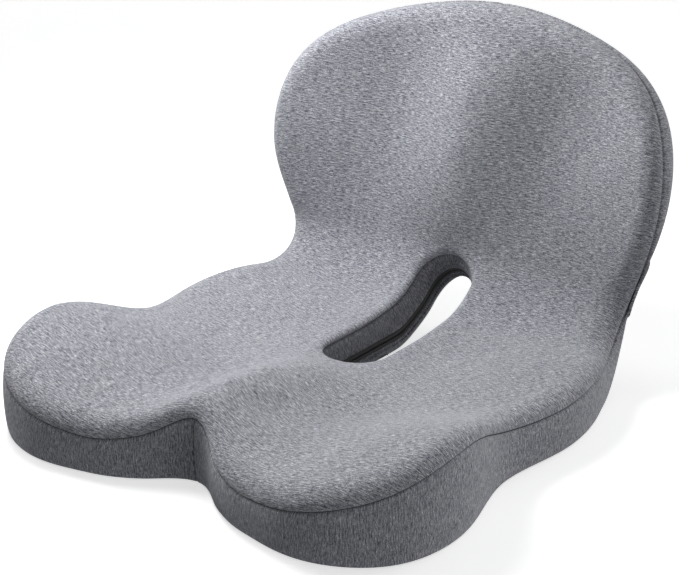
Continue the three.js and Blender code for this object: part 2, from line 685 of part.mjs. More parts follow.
// ---- The origin is the middle of the footprint, on the ground ----
const bounds = new THREE.Box3().setFromObject(cushion);
cushion.position.set(0, -(bounds.min.y + bounds.max.y) / 2, 0);

export default cushion;
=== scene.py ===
"""A seat cushion with a low backrest: a knit cover in nine panels over a foam core, a slot under the
tailbone, and two zips. The cover is one bent sheet: u runs across it, s runs along it from the front notch,
over the seat and up the backrest. Its formulas are in millimetres; the meshes are in metres."""

import math

import bmesh
import bpy
import numpy as np
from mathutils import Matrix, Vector


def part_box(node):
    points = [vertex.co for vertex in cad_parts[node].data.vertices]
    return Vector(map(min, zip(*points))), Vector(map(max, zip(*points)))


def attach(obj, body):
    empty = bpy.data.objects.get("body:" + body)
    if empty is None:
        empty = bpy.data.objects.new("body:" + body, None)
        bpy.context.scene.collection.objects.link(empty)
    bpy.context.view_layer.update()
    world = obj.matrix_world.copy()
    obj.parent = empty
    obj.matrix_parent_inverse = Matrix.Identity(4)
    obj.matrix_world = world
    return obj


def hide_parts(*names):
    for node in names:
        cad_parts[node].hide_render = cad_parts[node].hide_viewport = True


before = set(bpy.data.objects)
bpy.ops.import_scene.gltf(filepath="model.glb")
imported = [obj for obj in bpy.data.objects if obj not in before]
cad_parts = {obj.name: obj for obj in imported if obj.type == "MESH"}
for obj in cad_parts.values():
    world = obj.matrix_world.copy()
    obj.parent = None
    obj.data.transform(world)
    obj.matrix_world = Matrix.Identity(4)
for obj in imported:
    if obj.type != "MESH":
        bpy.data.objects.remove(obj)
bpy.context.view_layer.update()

MM = 0.001

# ---- Side profile of the bent sheet
SEAT_HEIGHT = 54
BEND_START = 298
FRONT_RADIUS = 55
HEEL_RADIUS = 67
RECLINE = math.radians(17)
BACK_EDGE = 23
BEND_SHARE = 0.35  # s in the bend: how far its length is from the face's towards the underside's
BACK_BELLY = 19
BELLY_START = 0.2  # share of the bend's length where the backrest begins to thicken
BELLY_RUN = 0.7  # and over which it does
BELLY_BLEND = 60  # how far inside the edge the belly is full
WING = 26
WING_REACH = 218
WING_BLEND = 65  # how far past the bend the wings go on coming forward

# ---- Outline, right half: control points (u, s, rise of the edge seam) of a closed cubic B-spline
OUTLINE = [
    (0, 2, 6),
    (23, -11, -10),
    (36, -24, -17),
    (65, -39, -22),
    (87, -43, -23),
    (138, -54, -15),
    (206, -18, 4),
    (216, 65, 27),
    (182, 136, -16),
    (208, 215, -16),
    (195, 290, -12),
    (165, 357, -26),
    (207, 430, -9),
    (200, 517, 4),
    (155, 571, -8),
    (71, 598, -12),
    (0, 608, -12),
]
STEPS = 18  # stations to each control point

# ---- Face relief: height over the sheet's reference face at places (u, s) inside the outline, mirrored
FACE_POINTS = [
    (0, 45, 18),
    (0, 85, 13),
    (0, 130, 2),
    (32, 45, 1),
    (38, 95, -5),
    (95, 20, -2),
    (90, 90, -8),
    (145, 60, 13),
    (70, 150, -13),
    (130, 150, -8),
    (60, 230, -16),
    (125, 230, -9),
    (60, 300, -13),
    (120, 310, -10),
    (0, 402, 4),
    (0, 430, 13),
    (0, 475, 20),
    (0, 530, 17),
    (36, 475, 8),
    (80, 430, -8),
    (85, 480, -9),
    (85, 530, -6),
    (140, 470, 2),
]
SHOULDER = 21  # width of the rounded shoulder inside the edge seam
NECK_SHOULDER = 13  # how much wider it is at the neck
NECK_S = 330
NECK_LENGTH = 55  # how far along the sheet from there it is wider
CREST_SEAT = 14  # shoulder's rise over the edge seam, on the seat
CREST_BACK = 18  # and on the backrest
CREST_S = (230, 350)
FLARE = 6  # how much further out the slot's mouth is than its foot
RIM_RADIUS = 6  # rounding at the mouth
RIM_DROP_SEAT = 13  # mouth below the reference face, in the seat
RIM_DROP_BACK = 6  # and in the bend
RIM_DROP_S = (250, 345)
RIM_BLEND = 40  # how far from the slot the face is fitted to its mouth

# ---- Slot and cover
SLOT_START = 186
SLOT_END = 370
SLOT_RADIUS = 22
CLOTH = 1.2
GAP = 0.3
BASE_SEAM_S = 285
BAND_BULGE = 1.6  # how far a side band bows out between its seams
BOTTOM_RADIUS = 4  # rounding at the foot of a side band

# ---- Seams
SEAM_DEPTH = 1.8
SEAM_WIDTH = 0.9
PILLOW_DEPTH = 0.5
PILLOW_WIDTH = 7
STITCH_PITCH = 3.4
ZIP_EDGE_DIP = 0.25  # share of a seam's depth at the cloth's edge along the slot's zip
END_DIP = 0.6  # share of a seam's depth at the upright seams of the side bands

# ---- Zips
TAPE_WIDTH = 3.5
TAPE_DEPTH = 0.2
TAPE_THICKNESS = 0.7
CHAIN_SLIT = 1.6
COIL_WIDTH = 2.4
COIL_THICKNESS = 1.6
COIL_PITCH = 1.5
SLOT_ZIP_HEIGHT = 14
BACK_ZIP_S = 398
BACK_ZIP_LENGTH = 240
ZIP_STOP_LENGTH = 2
ZIP_HALF = CHAIN_SLIT / 2
TAPE_END = ZIP_HALF + TAPE_WIDTH

# ---- Label and grip dots
LABEL_WIDTH = 26
LABEL_LENGTH = 34
LABEL_X = 70
LABEL_THICKNESS = 0.5
DOT_PITCH = 13
DOT_RADIUS = 2.1
DOT_LIFT = 0.45  # the base cloth lies this far above the ground, on its grip dots
DOT_BLEND = 8  # how far from the seams it is lifted in full


# ---- The bent sheet ----
def smooth(x):
    """0 below 0, 1 above 1, and an even S between."""
    t = np.clip(x, 0, 1)
    return t * t * (3 - 2 * t)


def mix(a, b, t):
    return a + (b - a) * t


def ring(rows):
    """The rows with the first one again at the end."""
    return np.concatenate([rows, rows[:1]])


SIN, COS = math.sin(RECLINE), math.cos(RECLINE)
BEND_ANGLE = math.pi / 2 - RECLINE
FACE_CENTRE = (BEND_START, SEAT_HEIGHT + FRONT_RADIUS)
FACE_END = (FACE_CENTRE[0] + FRONT_RADIUS * COS, FACE_CENTRE[1] - FRONT_RADIUS * SIN)
REAR_END = (FACE_END[0] + BACK_EDGE * COS, FACE_END[1] - BACK_EDGE * SIN)
REAR_RUN = (REAR_END[1] - HEEL_RADIUS * (1 - SIN)) / COS
HEEL_CENTRE = REAR_END[0] - REAR_RUN * SIN - HEEL_RADIUS * COS
BASE_RUN = HEEL_CENTRE - BEND_START
HEEL_ARC = HEEL_RADIUS * BEND_ANGLE
UNDERSIDE_BEND = BASE_RUN + HEEL_ARC + REAR_RUN
BEND_LENGTH = mix(FRONT_RADIUS * BEND_ANGLE, UNDERSIDE_BEND, BEND_SHARE)
BEND_END = BEND_START + BEND_LENGTH
# where the sheet's s = 0 lies along y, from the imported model
Y_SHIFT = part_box("slot_liner_lower")[0].y / MM - (SLOT_START - CLOTH)


def face_point(s):
    """(y, z) of the reference face, with y from the sheet's own zero."""
    angle = np.clip((s - BEND_START) / BEND_LENGTH, 0, 1) * BEND_ANGLE
    past = np.maximum(s - BEND_END, 0)
    y = np.minimum(s, BEND_START) + FRONT_RADIUS * np.sin(angle) + past * SIN
    z = FACE_CENTRE[1] - FRONT_RADIUS * np.cos(angle) + past * COS
    return y, z


def rear_point(s):
    """(y, z) of the underside and the rear."""
    past = np.maximum(s - BEND_END, 0)
    run = np.clip((s - BEND_START) / BEND_LENGTH, 0, 1) * UNDERSIDE_BEND
    angle = np.clip((run - BASE_RUN) / HEEL_RADIUS, 0, BEND_ANGLE)
    straight = np.maximum(run - BASE_RUN - HEEL_ARC, 0) + past
    flat = np.minimum(s, BEND_START) + np.clip(run, min(BASE_RUN, 0), BASE_RUN)
    y = np.where(run < BASE_RUN, flat, HEEL_CENTRE + HEEL_RADIUS * np.sin(angle) + straight * SIN)
    z = HEEL_RADIUS * (1 - np.cos(angle)) + straight * COS
    y = np.where(s <= BEND_START, s, y)
    return y, np.where(s <= BEND_START, 0, z)


def thickness(s):
    face, rear = face_point(s), rear_point(s)
    return np.hypot(face[0] - rear[0], face[1] - rear[1])


def wing_shift(u, s):
    """How far a place comes forward because the backrest curls round the sitter."""
    return WING * (u / WING_REACH) ** 2 * smooth((s - BEND_START) / (BEND_LENGTH + WING_BLEND))


def belly_shift(s):
    """How far the middle of the rear goes back."""
    return -BACK_BELLY * smooth((s - BEND_START - BELLY_START * BEND_LENGTH) / (BELLY_RUN * BEND_LENGTH))


def place(u, s, h):
    """Points of the object, in millimetres, at height h over the underside or rear of the sheet."""
    u, s, h = np.broadcast_arrays(np.asarray(u, float), np.asarray(s, float), np.asarray(h, float))
    face, rear = face_point(s), rear_point(s)
    t = (h + wing_shift(u, s)) / thickness(s)
    return np.stack([u, mix(rear[0], face[0], t) + Y_SHIFT, mix(rear[1], face[1], t)], axis=-1)


# ---- Outline and stations ----
LOOP = np.array(OUTLINE + [(-u, s, rise) for u, s, rise in OUTLINE[-2:0:-1]], float)


def outline_at(t):
    """(u, s, rise) on the outline at parameters t; a control point is a whole number."""
    t = np.atleast_1d(np.asarray(t, float))
    i = np.floor(t).astype(int)
    f = (t - i)[:, None]
    weights = (
        (1 - f) ** 3 / 6,
        (3 * f**3 - 6 * f**2 + 4) / 6,
        (-3 * f**3 + 3 * f**2 + 3 * f + 1) / 6,
        f**3 / 6,
    )
    return sum(w * LOOP[(i + k - 1) % len(LOOP)] for k, w in enumerate(weights))


def between(pair, limits, s):
    """The first value up to the first limit along the sheet, the second one past the second limit."""
    return mix(*pair, smooth((s - limits[0]) / (limits[1] - limits[0])))


def rim_drop(s):
    return between((RIM_DROP_SEAT, RIM_DROP_BACK), RIM_DROP_S, s)


def crest(s):
    return between((CREST_SEAT, CREST_BACK), CREST_S, s)


PLATE_UNIT = 100.0  # millimetres to a unit of the thin plate's own lengths


def thin_plate(nodes, values):
    """The smooth surface of least bending through values at the nodes, as a function of (u, s)."""

    def kernel(d2):
        return d2 * np.log(np.maximum(d2, 1e-9))

    p = nodes / PLATE_UNIT
    n = len(p)
    d2 = ((p[:, None] - p[None]) ** 2).sum(-1)
    flat = np.hstack([np.ones((n, 1)), p])
    matrix = np.block([[kernel(d2), flat], [flat.T, np.zeros((3, 3))]])
    weights = np.linalg.solve(matrix, np.concatenate([values, np.zeros(3)]))

    def surface(u, s):
        q = np.stack([u, s], -1).reshape(-1, 2) / PLATE_UNIT
        d2 = ((q[:, None] - p[None]) ** 2).sum(-1)
        out = kernel(d2) @ weights[:n] + weights[n] + q @ weights[n + 1 :]
        return out.reshape(np.shape(u))

    return surface


def mirrored(points):
    """The points, and those off the centre line again on the other side."""
    return points + [(-p[0], *p[1:]) for p in points if p[0] > 0.01]


edge_nodes = outline_at(np.arange(0, len(LOOP), 0.5))
edge_nodes[:, 2] += crest(edge_nodes[:, 1])
# Places on the mouth's right half: the way out in degrees from +u, and the share of the slot's straight.
MOUTH_PLACES = [(-90, 0), (-45, 0), (0, 0), (0, 1 / 3), (0, 2 / 3), (0, 1), (45, 1), (90, 1)]
MOUTH_RADIUS = SLOT_RADIUS + FLARE
half_mouth = []
for degrees, share in MOUTH_PLACES:
    angle = math.radians(degrees)
    s = mix(SLOT_START + SLOT_RADIUS, SLOT_END - SLOT_RADIUS, share) + MOUTH_RADIUS * math.sin(angle)
    half_mouth.append((MOUTH_RADIUS * math.cos(angle), s, -rim_drop(s)))
rim_nodes = np.array(mirrored(half_mouth))
inner_nodes = np.array(mirrored(FACE_POINTS), float)
face_nodes = np.vstack([edge_nodes, rim_nodes, inner_nodes])
relief = thin_plate(face_nodes[:, :2], face_nodes[:, 2])

stations_t = np.arange(len(LOOP) * STEPS) / STEPS
edge_u, edge_s, edge_rise = outline_at(stations_t).T
centre_s = np.clip(edge_s, SLOT_START + SLOT_RADIUS, SLOT_END - SLOT_RADIUS)
reach = np.hypot(edge_u, edge_s - centre_s)
way = np.stack([edge_u / reach, (edge_s - centre_s) / reach], -1)
foot = np.stack([way[:, 0] * SLOT_RADIUS, centre_s + way[:, 1] * SLOT_RADIUS], -1)
span = (reach - SLOT_RADIUS)[:, None]
at_foot = span * 0
ROWS = len(stations_t)
NOTCH, TOP = 0, ROWS // 2
edge_crest = crest(edge_s)[:, None]
shoulder = (SHOULDER + NECK_SHOULDER * np.exp(-(((edge_s - NECK_S) / NECK_LENGTH) ** 2)))[:, None]


def on_sheet(a):
    """(u, s) at distances a from the slot, one row of them to each station."""
    return foot[:, :1] + way[:, :1] * a, foot[:, 1:] + way[:, 1:] * a


def face_height(a):
    """Height of the face over the underside, fitted to the edge seam and to the slot's mouth."""
    u, s = on_sheet(a)
    height = relief(u, s)
    end_u, end_s = on_sheet(span)
    start_u, start_s = on_sheet(at_foot + FLARE)
    edge_error = edge_rise[:, None] + edge_crest - relief(end_u, end_s)
    rim_error = -rim_drop(start_s) - relief(start_u, start_s)
    height = height + edge_error * smooth(a / span) + rim_error * smooth(1 - (a - FLARE) / RIM_BLEND)
    return thickness(s) + height


def base_height(a):
    """Height of the underside and rear: 0 at the edge, and backwards by the belly in the middle."""
    u, s = on_sheet(a)
    return smooth((span - a) / BELLY_BLEND) * (belly_shift(s) - wing_shift(u, s))


def points_at(a, h):
    return place(*on_sheet(a), h)


# ---- Meshes ----
def along(points, axis):
    """Distance along a grid of points in one direction."""
    steps = np.linalg.norm(np.diff(points, axis=axis), axis=-1)
    zero = np.zeros_like(np.take(steps, [0], axis=axis))
    return np.cumsum(np.concatenate([zero, steps], axis=axis), axis=axis)


def grid_normals(points, closed):
    """Unit normals of a grid of points; a closed grid's last row meets its first one."""
    if closed:
        down = np.roll(points, -1, 0) - np.roll(points, 1, 0)
    else:
        down = np.gradient(points, axis=0)
    across = np.gradient(points, axis=1)
    normal = np.cross(across, down)
    return normal / np.maximum(np.linalg.norm(normal, axis=-1, keepdims=True), 1e-9)


def seam_dip(distance):
    """How deep the cloth lies at a distance from a seam: a narrow groove in a wide, shallow pillow."""
    groove = SEAM_DEPTH * np.exp(-((distance / SEAM_WIDTH) ** 2))
    return groove + PILLOW_DEPTH * np.exp(-((distance / PILLOW_WIDTH) ** 2))


def dipped(points, closed=True, upright=None, shares=(1, 1)):
    """The grid sunk along the seams at its first and last column, and as far as upright says at each row."""
    across = along(points, 1)
    depth = shares[0] * seam_dip(across) + shares[1] * seam_dip(across[:, -1:] - across)
    if upright is not None:
        depth = np.maximum(depth, upright[:, None])
    return points - grid_normals(points, closed) * depth[..., None]


def join(grid, column, other, other_column):
    """Bring two sunk grids together where they share a seam."""
    shared = (grid[:, column] + other[:, other_column]) / 2
    grid[:, column] = shared
    other[:, other_column] = shared


def new_object(name, vertices, faces, face_uvs, surface):
    """A mesh object from vertices in millimetres and one list of faces with equal corner counts."""
    mesh = bpy.data.meshes.new(name)
    faces = np.asarray(faces)
    count, corners = faces.shape
    mesh.vertices.add(len(vertices))
    mesh.vertices.foreach_set("co", (np.asarray(vertices) * MM).astype(np.float32).ravel())
    mesh.loops.add(count * corners)
    mesh.loops.foreach_set("vertex_index", faces.astype(np.int32).ravel())
    mesh.polygons.add(count)
    mesh.polygons.foreach_set("loop_start", np.arange(0, count * corners, corners, dtype=np.int32))
    mesh.polygons.foreach_set("loop_total", np.full(count, corners, np.int32))
    mesh.polygons.foreach_set("use_smooth", np.full(count, True))
    if face_uvs is not None:
        layer = mesh.uv_layers.new(name="sheet")
        layer.data.foreach_set("uv", np.asarray(face_uvs, np.float32).ravel())
    mesh.update()
    mesh.validate()
    obj = bpy.data.objects.new(name, mesh)
    bpy.context.scene.collection.objects.link(obj)
    mesh.materials.append(surface)
    return obj


def quads(rows, columns, closed, offset=0, flip=False):
    """Corner indices and uv indices of a grid's faces; a closed grid's uv rows go one further."""
    strips = rows if closed else rows - 1
    i, k = np.meshgrid(np.arange(strips), np.arange(columns - 1), indexing="ij")
    i, k = i.ravel(), k.ravel()
    here = i * columns + k
    below = (i + 1) % rows * columns + k
    next_uv = here + columns
    corner = np.stack([here, here + 1, below + 1, below], -1)
    uv = np.stack([here, here + 1, next_uv + 1, next_uv], -1)
    if flip:
        corner, uv = corner[:, ::-1], uv[:, ::-1]
    return corner + offset, uv


def shell(name, points, uv, closed, surface, depth=CLOTH):
    """A closed sheet of cloth: the grid of outer points, an inner layer, and its rims."""
    rows, columns = points.shape[:2]
    inner = points - grid_normals(points, closed) * depth
    vertices = np.vstack([points.reshape(-1, 3), inner.reshape(-1, 3)])
    uv = np.asarray(uv, float)
    if closed and len(uv) == rows:
        uv = ring(uv)
    flat_uv = uv.reshape(-1, 2)
    size = rows * columns
    outer_faces, outer_uv = quads(rows, columns, closed)
    inner_faces, inner_uv = quads(rows, columns, closed, size, flip=True)
    faces, uvs = [outer_faces, inner_faces], [flat_uv[outer_uv], flat_uv[inner_uv]]
    strips = rows if closed else rows - 1

    def add_rim(here, after, uv_after, forward):
        rim = np.stack([here, here + size, after + size, after], -1)
        rim_uv = np.stack([here, here, uv_after, uv_after], -1)
        faces.append(rim if forward else rim[:, ::-1])
        uvs.append(flat_uv[rim_uv if forward else rim_uv[:, ::-1]])

    i = np.arange(strips)
    for k, forward in ((0, False), (columns - 1, True)):
        add_rim(i * columns + k, (i + 1) % rows * columns + k, (i + 1) * columns + k, forward)
    if not closed:
        k = np.arange(columns - 1)
        for row, forward in ((0, True), (rows - 1, False)):
            add_rim(row * columns + k, row * columns + k + 1, row * columns + k + 1, forward)
    return new_object(name, vertices, np.vstack(faces), np.vstack(uvs), surface)


def ring_faces(rings, sides):
    """Faces between rings of an even number of corners, and the cap on the last ring."""
    faces = []
    for at in range(0, (rings - 1) * sides, sides):
        for k in range(sides):
            after = (k + 1) % sides
            faces.append((at + k, at + after, at + sides + after, at + sides + k))
    last = (rings - 1) * sides
    return faces + [(last, last + k, last + k + 1, last + k + 2) for k in range(1, sides - 2, 2)]


def repeated(faces, copies, corners):
    """The faces once for each copy, whose vertices follow one another."""
    return (np.array(faces)[None] + np.arange(copies)[:, None, None] * corners).reshape(-1, 4)


CAPSULE_SIDES = 6
CAPSULE_RINGS = ((0, 0.35), (0.16, 0.85), (0.5, 1.0), (0.84, 0.85), (1, 0.35))  # share of length, of radius


def capsules(name, starts, ends, radius, surface):
    """Short rounded threads from starts to ends, in one mesh."""
    axis = ends - starts
    length = np.linalg.norm(axis, axis=1, keepdims=True)
    axis = axis / length
    helper = np.where(np.abs(axis[:, 2:]) < 0.8, [[0, 0, 1.0]], [[1.0, 0, 0]])
    side = np.cross(axis, helper)
    side /= np.linalg.norm(side, axis=1, keepdims=True)
    other = np.cross(axis, side)
    parts = []
    for share, girth in CAPSULE_RINGS:
        for angle in np.arange(CAPSULE_SIDES) * 2 * math.pi / CAPSULE_SIDES:
            around = side * math.cos(angle) + other * math.sin(angle)
            parts.append(starts + axis * length * share + around * radius * girth)
    vertices = np.stack(parts, 1)
    faces = ring_faces(len(CAPSULE_RINGS), CAPSULE_SIDES)
    faces += [(0, k + 2, k + 1, k) for k in range(1, CAPSULE_SIDES - 2, 2)]
    return new_object(name, vertices.reshape(-1, 3), repeated(faces, *vertices.shape[:2]), None, surface)


# ---- Materials ----
def material(name, roughness, metallic=0.0, sheen=0.0, colour=(0.5, 0.5, 0.5)):
    made = bpy.data.materials.new(name)
    made.use_nodes = True
    shader = made.node_tree.nodes["Principled BSDF"]
    shader.inputs["Roughness"].default_value = roughness
    shader.inputs["Metallic"].default_value = metallic
    shader.inputs["Sheen Weight"].default_value = sheen
    shader.inputs["Sheen Roughness"].default_value = 0.5
    shader.inputs["Base Color"].default_value = (*colour, 1)
    return made, made.node_tree, shader


WAVE_PERIOD = 2 * math.pi / 20  # of the wave texture at scale 1


class Nodes:
    """Short names for the nodes that the materials share."""

    def __init__(self, tree, uv=True):
        self.tree = tree
        coordinates = self.add("ShaderNodeTexCoord")
        self.start = coordinates.outputs["UV" if uv else "Object"]

    def add(self, kind, **settings):
        node = self.tree.nodes.new(kind)
        for key, value in settings.items():
            setattr(node, key, value)
        return node

    def link(self, output, socket):
        self.tree.links.new(output, socket)

    def noise(self, scale, detail=2.0, roughness=0.6, offset=(0, 0, 0)):
        mapping = self.add("ShaderNodeMapping")
        mapping.inputs["Scale"].default_value = scale
        mapping.inputs["Location"].default_value = offset
        self.link(self.start, mapping.inputs["Vector"])
        node = self.add("ShaderNodeTexNoise")
        node.inputs["Scale"].default_value = 1.0
        node.inputs["Detail"].default_value = detail
        node.inputs["Roughness"].default_value = roughness
        self.link(mapping.outputs["Vector"], node.inputs["Vector"])
        return node.outputs["Fac"]

    def waves(self, direction, period):
        """Even ridges with a period in millimetres."""
        node = self.add("ShaderNodeTexWave", wave_type="BANDS", bands_direction=direction, wave_profile="SIN")
        node.inputs["Scale"].default_value = WAVE_PERIOD / (period * MM)
        node.inputs["Distortion"].default_value = 0.0
        self.link(self.start, node.inputs["Vector"])
        return node.outputs["Fac"]

    def math(self, operation, a, b):
        node = self.add("ShaderNodeMath", operation=operation)
        for socket, value in zip(node.inputs, (a, b)):
            if isinstance(value, (int, float)):
                socket.default_value = value
            else:
                self.link(value, socket)
        return node.outputs["Value"]

    def weighted(self, *parts):
        """The sum of outputs times their weights."""
        terms = [self.math("MULTIPLY", output, weight) for output, weight in parts]
        total = terms[0]
        for term in terms[1:]:
            total = self.math("ADD", total, term)
        return total

    def ramp(self, value, stops):
        node = self.add("ShaderNodeValToRGB")
        ramp = node.color_ramp
        while len(ramp.elements) < len(stops):
            ramp.elements.new(0.5)
        for element, (position, colour) in zip(ramp.elements, stops):
            element.position = position
            element.color = (*colour, 1)
        self.link(value, node.inputs["Fac"])
        return node.outputs["Color"]

    def bump(self, height, strength, distance, shader):
        node = self.add("ShaderNodeBump")
        node.inputs["Strength"].default_value = strength
        node.inputs["Distance"].default_value = distance
        self.link(height, node.inputs["Height"])
        self.link(node.outputs["Normal"], shader.inputs["Normal"])


def knit_material(name, tint=1.0):
    """Heather-grey double knit: light and dark fibres that run in short streaks along the uv's x; a tint
    below 1 darkens the whole copy, as painted shade.
    """
    made, tree, shader = material(name, 0.92, sheen=0.22)
    nodes = Nodes(tree)
    streaks = nodes.noise((80, 1000, 1), detail=2, roughness=0.6)
    specks = nodes.noise((230, 1400, 1), detail=2, roughness=0.7, offset=(7, 3, 0))
    fibres = nodes.noise((900, 2000, 1), detail=1, roughness=0.5, offset=(2, 9, 0))
    patches = nodes.noise((14, 14, 1), detail=1)
    value = nodes.weighted((streaks, 0.24), (specks, 0.48), (fibres, 0.26), (patches, 0.02))
    stops = [
        (0.39, (0.03, 0.033, 0.045)),
        (0.45, (0.15, 0.155, 0.185)),
        (0.50, (0.30, 0.305, 0.345)),
        (0.55, (0.46, 0.465, 0.505)),
        (0.61, (0.82, 0.83, 0.86)),
    ]
    colour = nodes.ramp(value, [(at, tuple(tint * c for c in rgb)) for at, rgb in stops])
    nodes.link(colour, shader.inputs["Base Color"])
    wales = nodes.waves("X", 1.25)
    courses = nodes.waves("Y", 0.9)
    height = nodes.weighted((wales, 0.35), (courses, 0.35), (specks, 1.2), (fibres, 0.6))
    nodes.bump(height, 0.55, 0.0005, shader)
    return made


def woven_material(name, dark, light, period, roughness=0.85, sheen=0.15, uv=True, strength=0.5):
    """A plain weave: warp and weft that show in turn, with a little variation from thread to thread."""
    made, tree, shader = material(name, roughness, sheen=sheen)
    nodes = Nodes(tree, uv)
    warp = nodes.waves("X", period)
    weft = nodes.waves("Y", period)
    variation = nodes.noise((1 / (period * MM) / 3,) * 3, detail=2)
    height = nodes.math("MAXIMUM", warp, weft)
    value = nodes.weighted((height, 0.5), (variation, 0.5))
    nodes.link(nodes.ramp(value, [(0.35, dark), (0.85, light)]), shader.inputs["Base Color"])
    nodes.bump(height, strength, 0.0004, shader)
    return made


def cellular_material(name, dark, light, roughness, cells, strength):
    """Open foam or rubber: small cells in the object's own space."""
    made, tree, shader = material(name, roughness)
    nodes = Nodes(tree, uv=False)
    fine = nodes.noise((cells,) * 3, detail=3)
    broad = nodes.noise((cells / 14,) * 3, detail=1)
    value = nodes.weighted((fine, 0.7), (broad, 0.3))
    nodes.link(nodes.ramp(value, [(0.35, dark), (0.65, light)]), shader.inputs["Base Color"])
    nodes.bump(fine, strength, 0.0006, shader)
    return made


def metal_material(name):
    """Dark plated zinc with faint brushing and worn, lighter spots."""
    made, tree, shader = material(name, 0.35, metallic=0.9)
    nodes = Nodes(tree, uv=False)
    brushing = nodes.noise((900, 2600, 900), detail=2)
    wear = nodes.noise((160,) * 3, detail=3)
    colour = nodes.ramp(wear, [(0.4, (0.1, 0.1, 0.11)), (0.75, (0.3, 0.3, 0.32))])
    nodes.link(colour, shader.inputs["Base Color"])
    rough = nodes.math("ADD", nodes.math("MULTIPLY", brushing, 0.25), 0.2)
    nodes.link(rough, shader.inputs["Roughness"])
    nodes.bump(brushing, 0.15, 0.0001, shader)
    return made


knit = knit_material("knit")
# the same knit a little darker for the side bands and the heel panel: painted shade
knit_painted_shade = knit_material("knit_painted_shade", 0.93)
# the same knit much darker for the slot's liners: painted shade in the slot
knit_painted_deep_shade = knit_material("knit_painted_deep_shade", 0.62)
base_cloth = woven_material("base_cloth", (0.012, 0.012, 0.014), (0.05, 0.05, 0.055), 1.1)
tape_cloth = woven_material(
    "zip_tape", (0.001, 0.001, 0.0015), (0.008, 0.008, 0.009), 0.7, sheen=0.0, strength=0.7
)
label_cloth = woven_material(
    "label_cloth", (0.62, 0.62, 0.6), (0.86, 0.86, 0.84), 0.4, roughness=0.6, strength=0.25
)
thread = woven_material("thread", (0.05, 0.05, 0.06), (0.2, 0.2, 0.22), 0.5, uv=False, strength=0.4)
foam = cellular_material("foam", (0.025, 0.025, 0.028), (0.06, 0.06, 0.066), 0.9, 900, 0.6)  # charcoal foam
nylon = cellular_material("nylon", (0.004, 0.004, 0.005), (0.02, 0.02, 0.024), 0.4, 700, 0.15)
silicone = cellular_material("silicone", (0.01, 0.01, 0.012), (0.03, 0.03, 0.034), 0.45, 500, 0.2)
zip_metal = metal_material("zip_metal")


def finish_piece(obj, slot, *nodes):
    """Every piece made here rides on the cushion itself; nodes are the CAD nodes it stands for."""
    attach(obj, "cushion")
    if nodes:
        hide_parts(*nodes)
    return obj


# ---- Columns: even steps with closer ones at the ends, where the seams are ----
FINE = [0, 0.5, 1, 1.6, 2.3, 3.2, 4.5, 6.5]
FACE_STEPS = 64
BAND_STEPS = 12
LINER_STEPS = 6


def columns_between(width, middle):
    """Distances across a panel at each station: fine steps at its two seams, even ones between."""
    first = np.array(FINE)[None] * np.ones_like(width)
    last = width - np.array(FINE[::-1])[None]
    even = np.linspace(0, 1, middle + 2)[1:-1][None]
    inner = mix(first[:, -1:], last[:, :1], even)
    return np.hstack([first, inner, last])


# ---- Face panel: from the slot's mouth, over the rim, across the face and down the shoulder to the edge seam
ROLL_STEPS = 9
FACE_COLUMNS = 52
SHOULDER_STEPS = 22
SHOULDER_BIAS = 0.8  # below 1, the steps are closer where the shoulder is steep
roll = np.linspace(0, math.pi / 2, ROLL_STEPS)[None]
roll_a = FLARE + RIM_RADIUS * (1 - np.cos(roll)) * np.ones((ROWS, 1))
roll_h = face_height(roll_a) - RIM_RADIUS * (1 - np.sin(roll))
flat_a = mix(FLARE + RIM_RADIUS, span - shoulder, np.linspace(0, 1, FACE_COLUMNS)[None, 1:])
turn = (np.linspace(0, 1, SHOULDER_STEPS)[None, 1:] ** SHOULDER_BIAS) * (math.pi / 2)
shoulder_a = span - shoulder * (1 - np.sin(turn))
shoulder_h = face_height(shoulder_a) - edge_crest * (1 - np.cos(turn))
face_a = np.hstack([roll_a, flat_a, shoulder_a])
face_points = points_at(face_a, np.hstack([roll_h, face_height(flat_a), shoulder_h]))
mouth_points = face_points[:, 0]
seam_points = face_points[:, -1]


def resampled(points, distances):
    """Each row of a grid at given distances along it."""
    total = along(points, 1)
    return np.stack(
        [
            np.stack([np.interp(d, t, row[:, axis]) for axis in range(3)], -1)
            for row, t, d in zip(points, total, distances)
        ]
    )


face_width = along(face_points, 1)[:, -1:]
face_distance = columns_between(face_width, FACE_STEPS)
face_grid = resampled(face_points, face_distance)
face_uv = ((FLARE + face_distance[..., None]) * way[:, None] + foot[:, None]) * MM
face_sunk = dipped(face_grid)

# ---- Side bands: from the edge seam down to the underside
BAND_COLUMNS = 26
BOTTOM_STEPS = 8
band_t = np.linspace(0, 1, BAND_COLUMNS)[None, :-1]
band_top = thickness(edge_s)[:, None] + edge_rise[:, None]
band_a = span + BAND_BULGE * 4 * band_t * (1 - band_t)
band_h = mix(band_top, BOTTOM_RADIUS, band_t)
bottom = np.linspace(0, math.pi / 2, BOTTOM_STEPS)[None, :]
bottom_a = span - BOTTOM_RADIUS * (1 - np.cos(bottom))
bottom_h = BOTTOM_RADIUS * (1 - np.sin(bottom)) + base_height(bottom_a)
band_points = points_at(np.hstack([band_a, bottom_a]), np.hstack([band_h, bottom_h]))
band_width = along(band_points, 1)[:, -1:]
band_distance = columns_between(band_width, BAND_STEPS)
band_grid = resampled(band_points, band_distance)
edge_run = along(ring(seam_points)[:, None], 0)[:, 0]
from_notch = np.minimum(edge_run[:-1], edge_run[-1] - edge_run[:-1])
from_top = np.abs(edge_run[:-1] - edge_run[TOP])
band_sunk = dipped(band_grid, upright=END_DIP * seam_dip(np.minimum(from_notch, from_top)))

# ---- Slot's wall: lower liner, zip, upper liner
wall_foot = base_height(at_foot)
wall_top = face_height(at_foot + FLARE) - RIM_RADIUS
wall_run = along(ring(mouth_points)[:, None], 0)[:, 0]


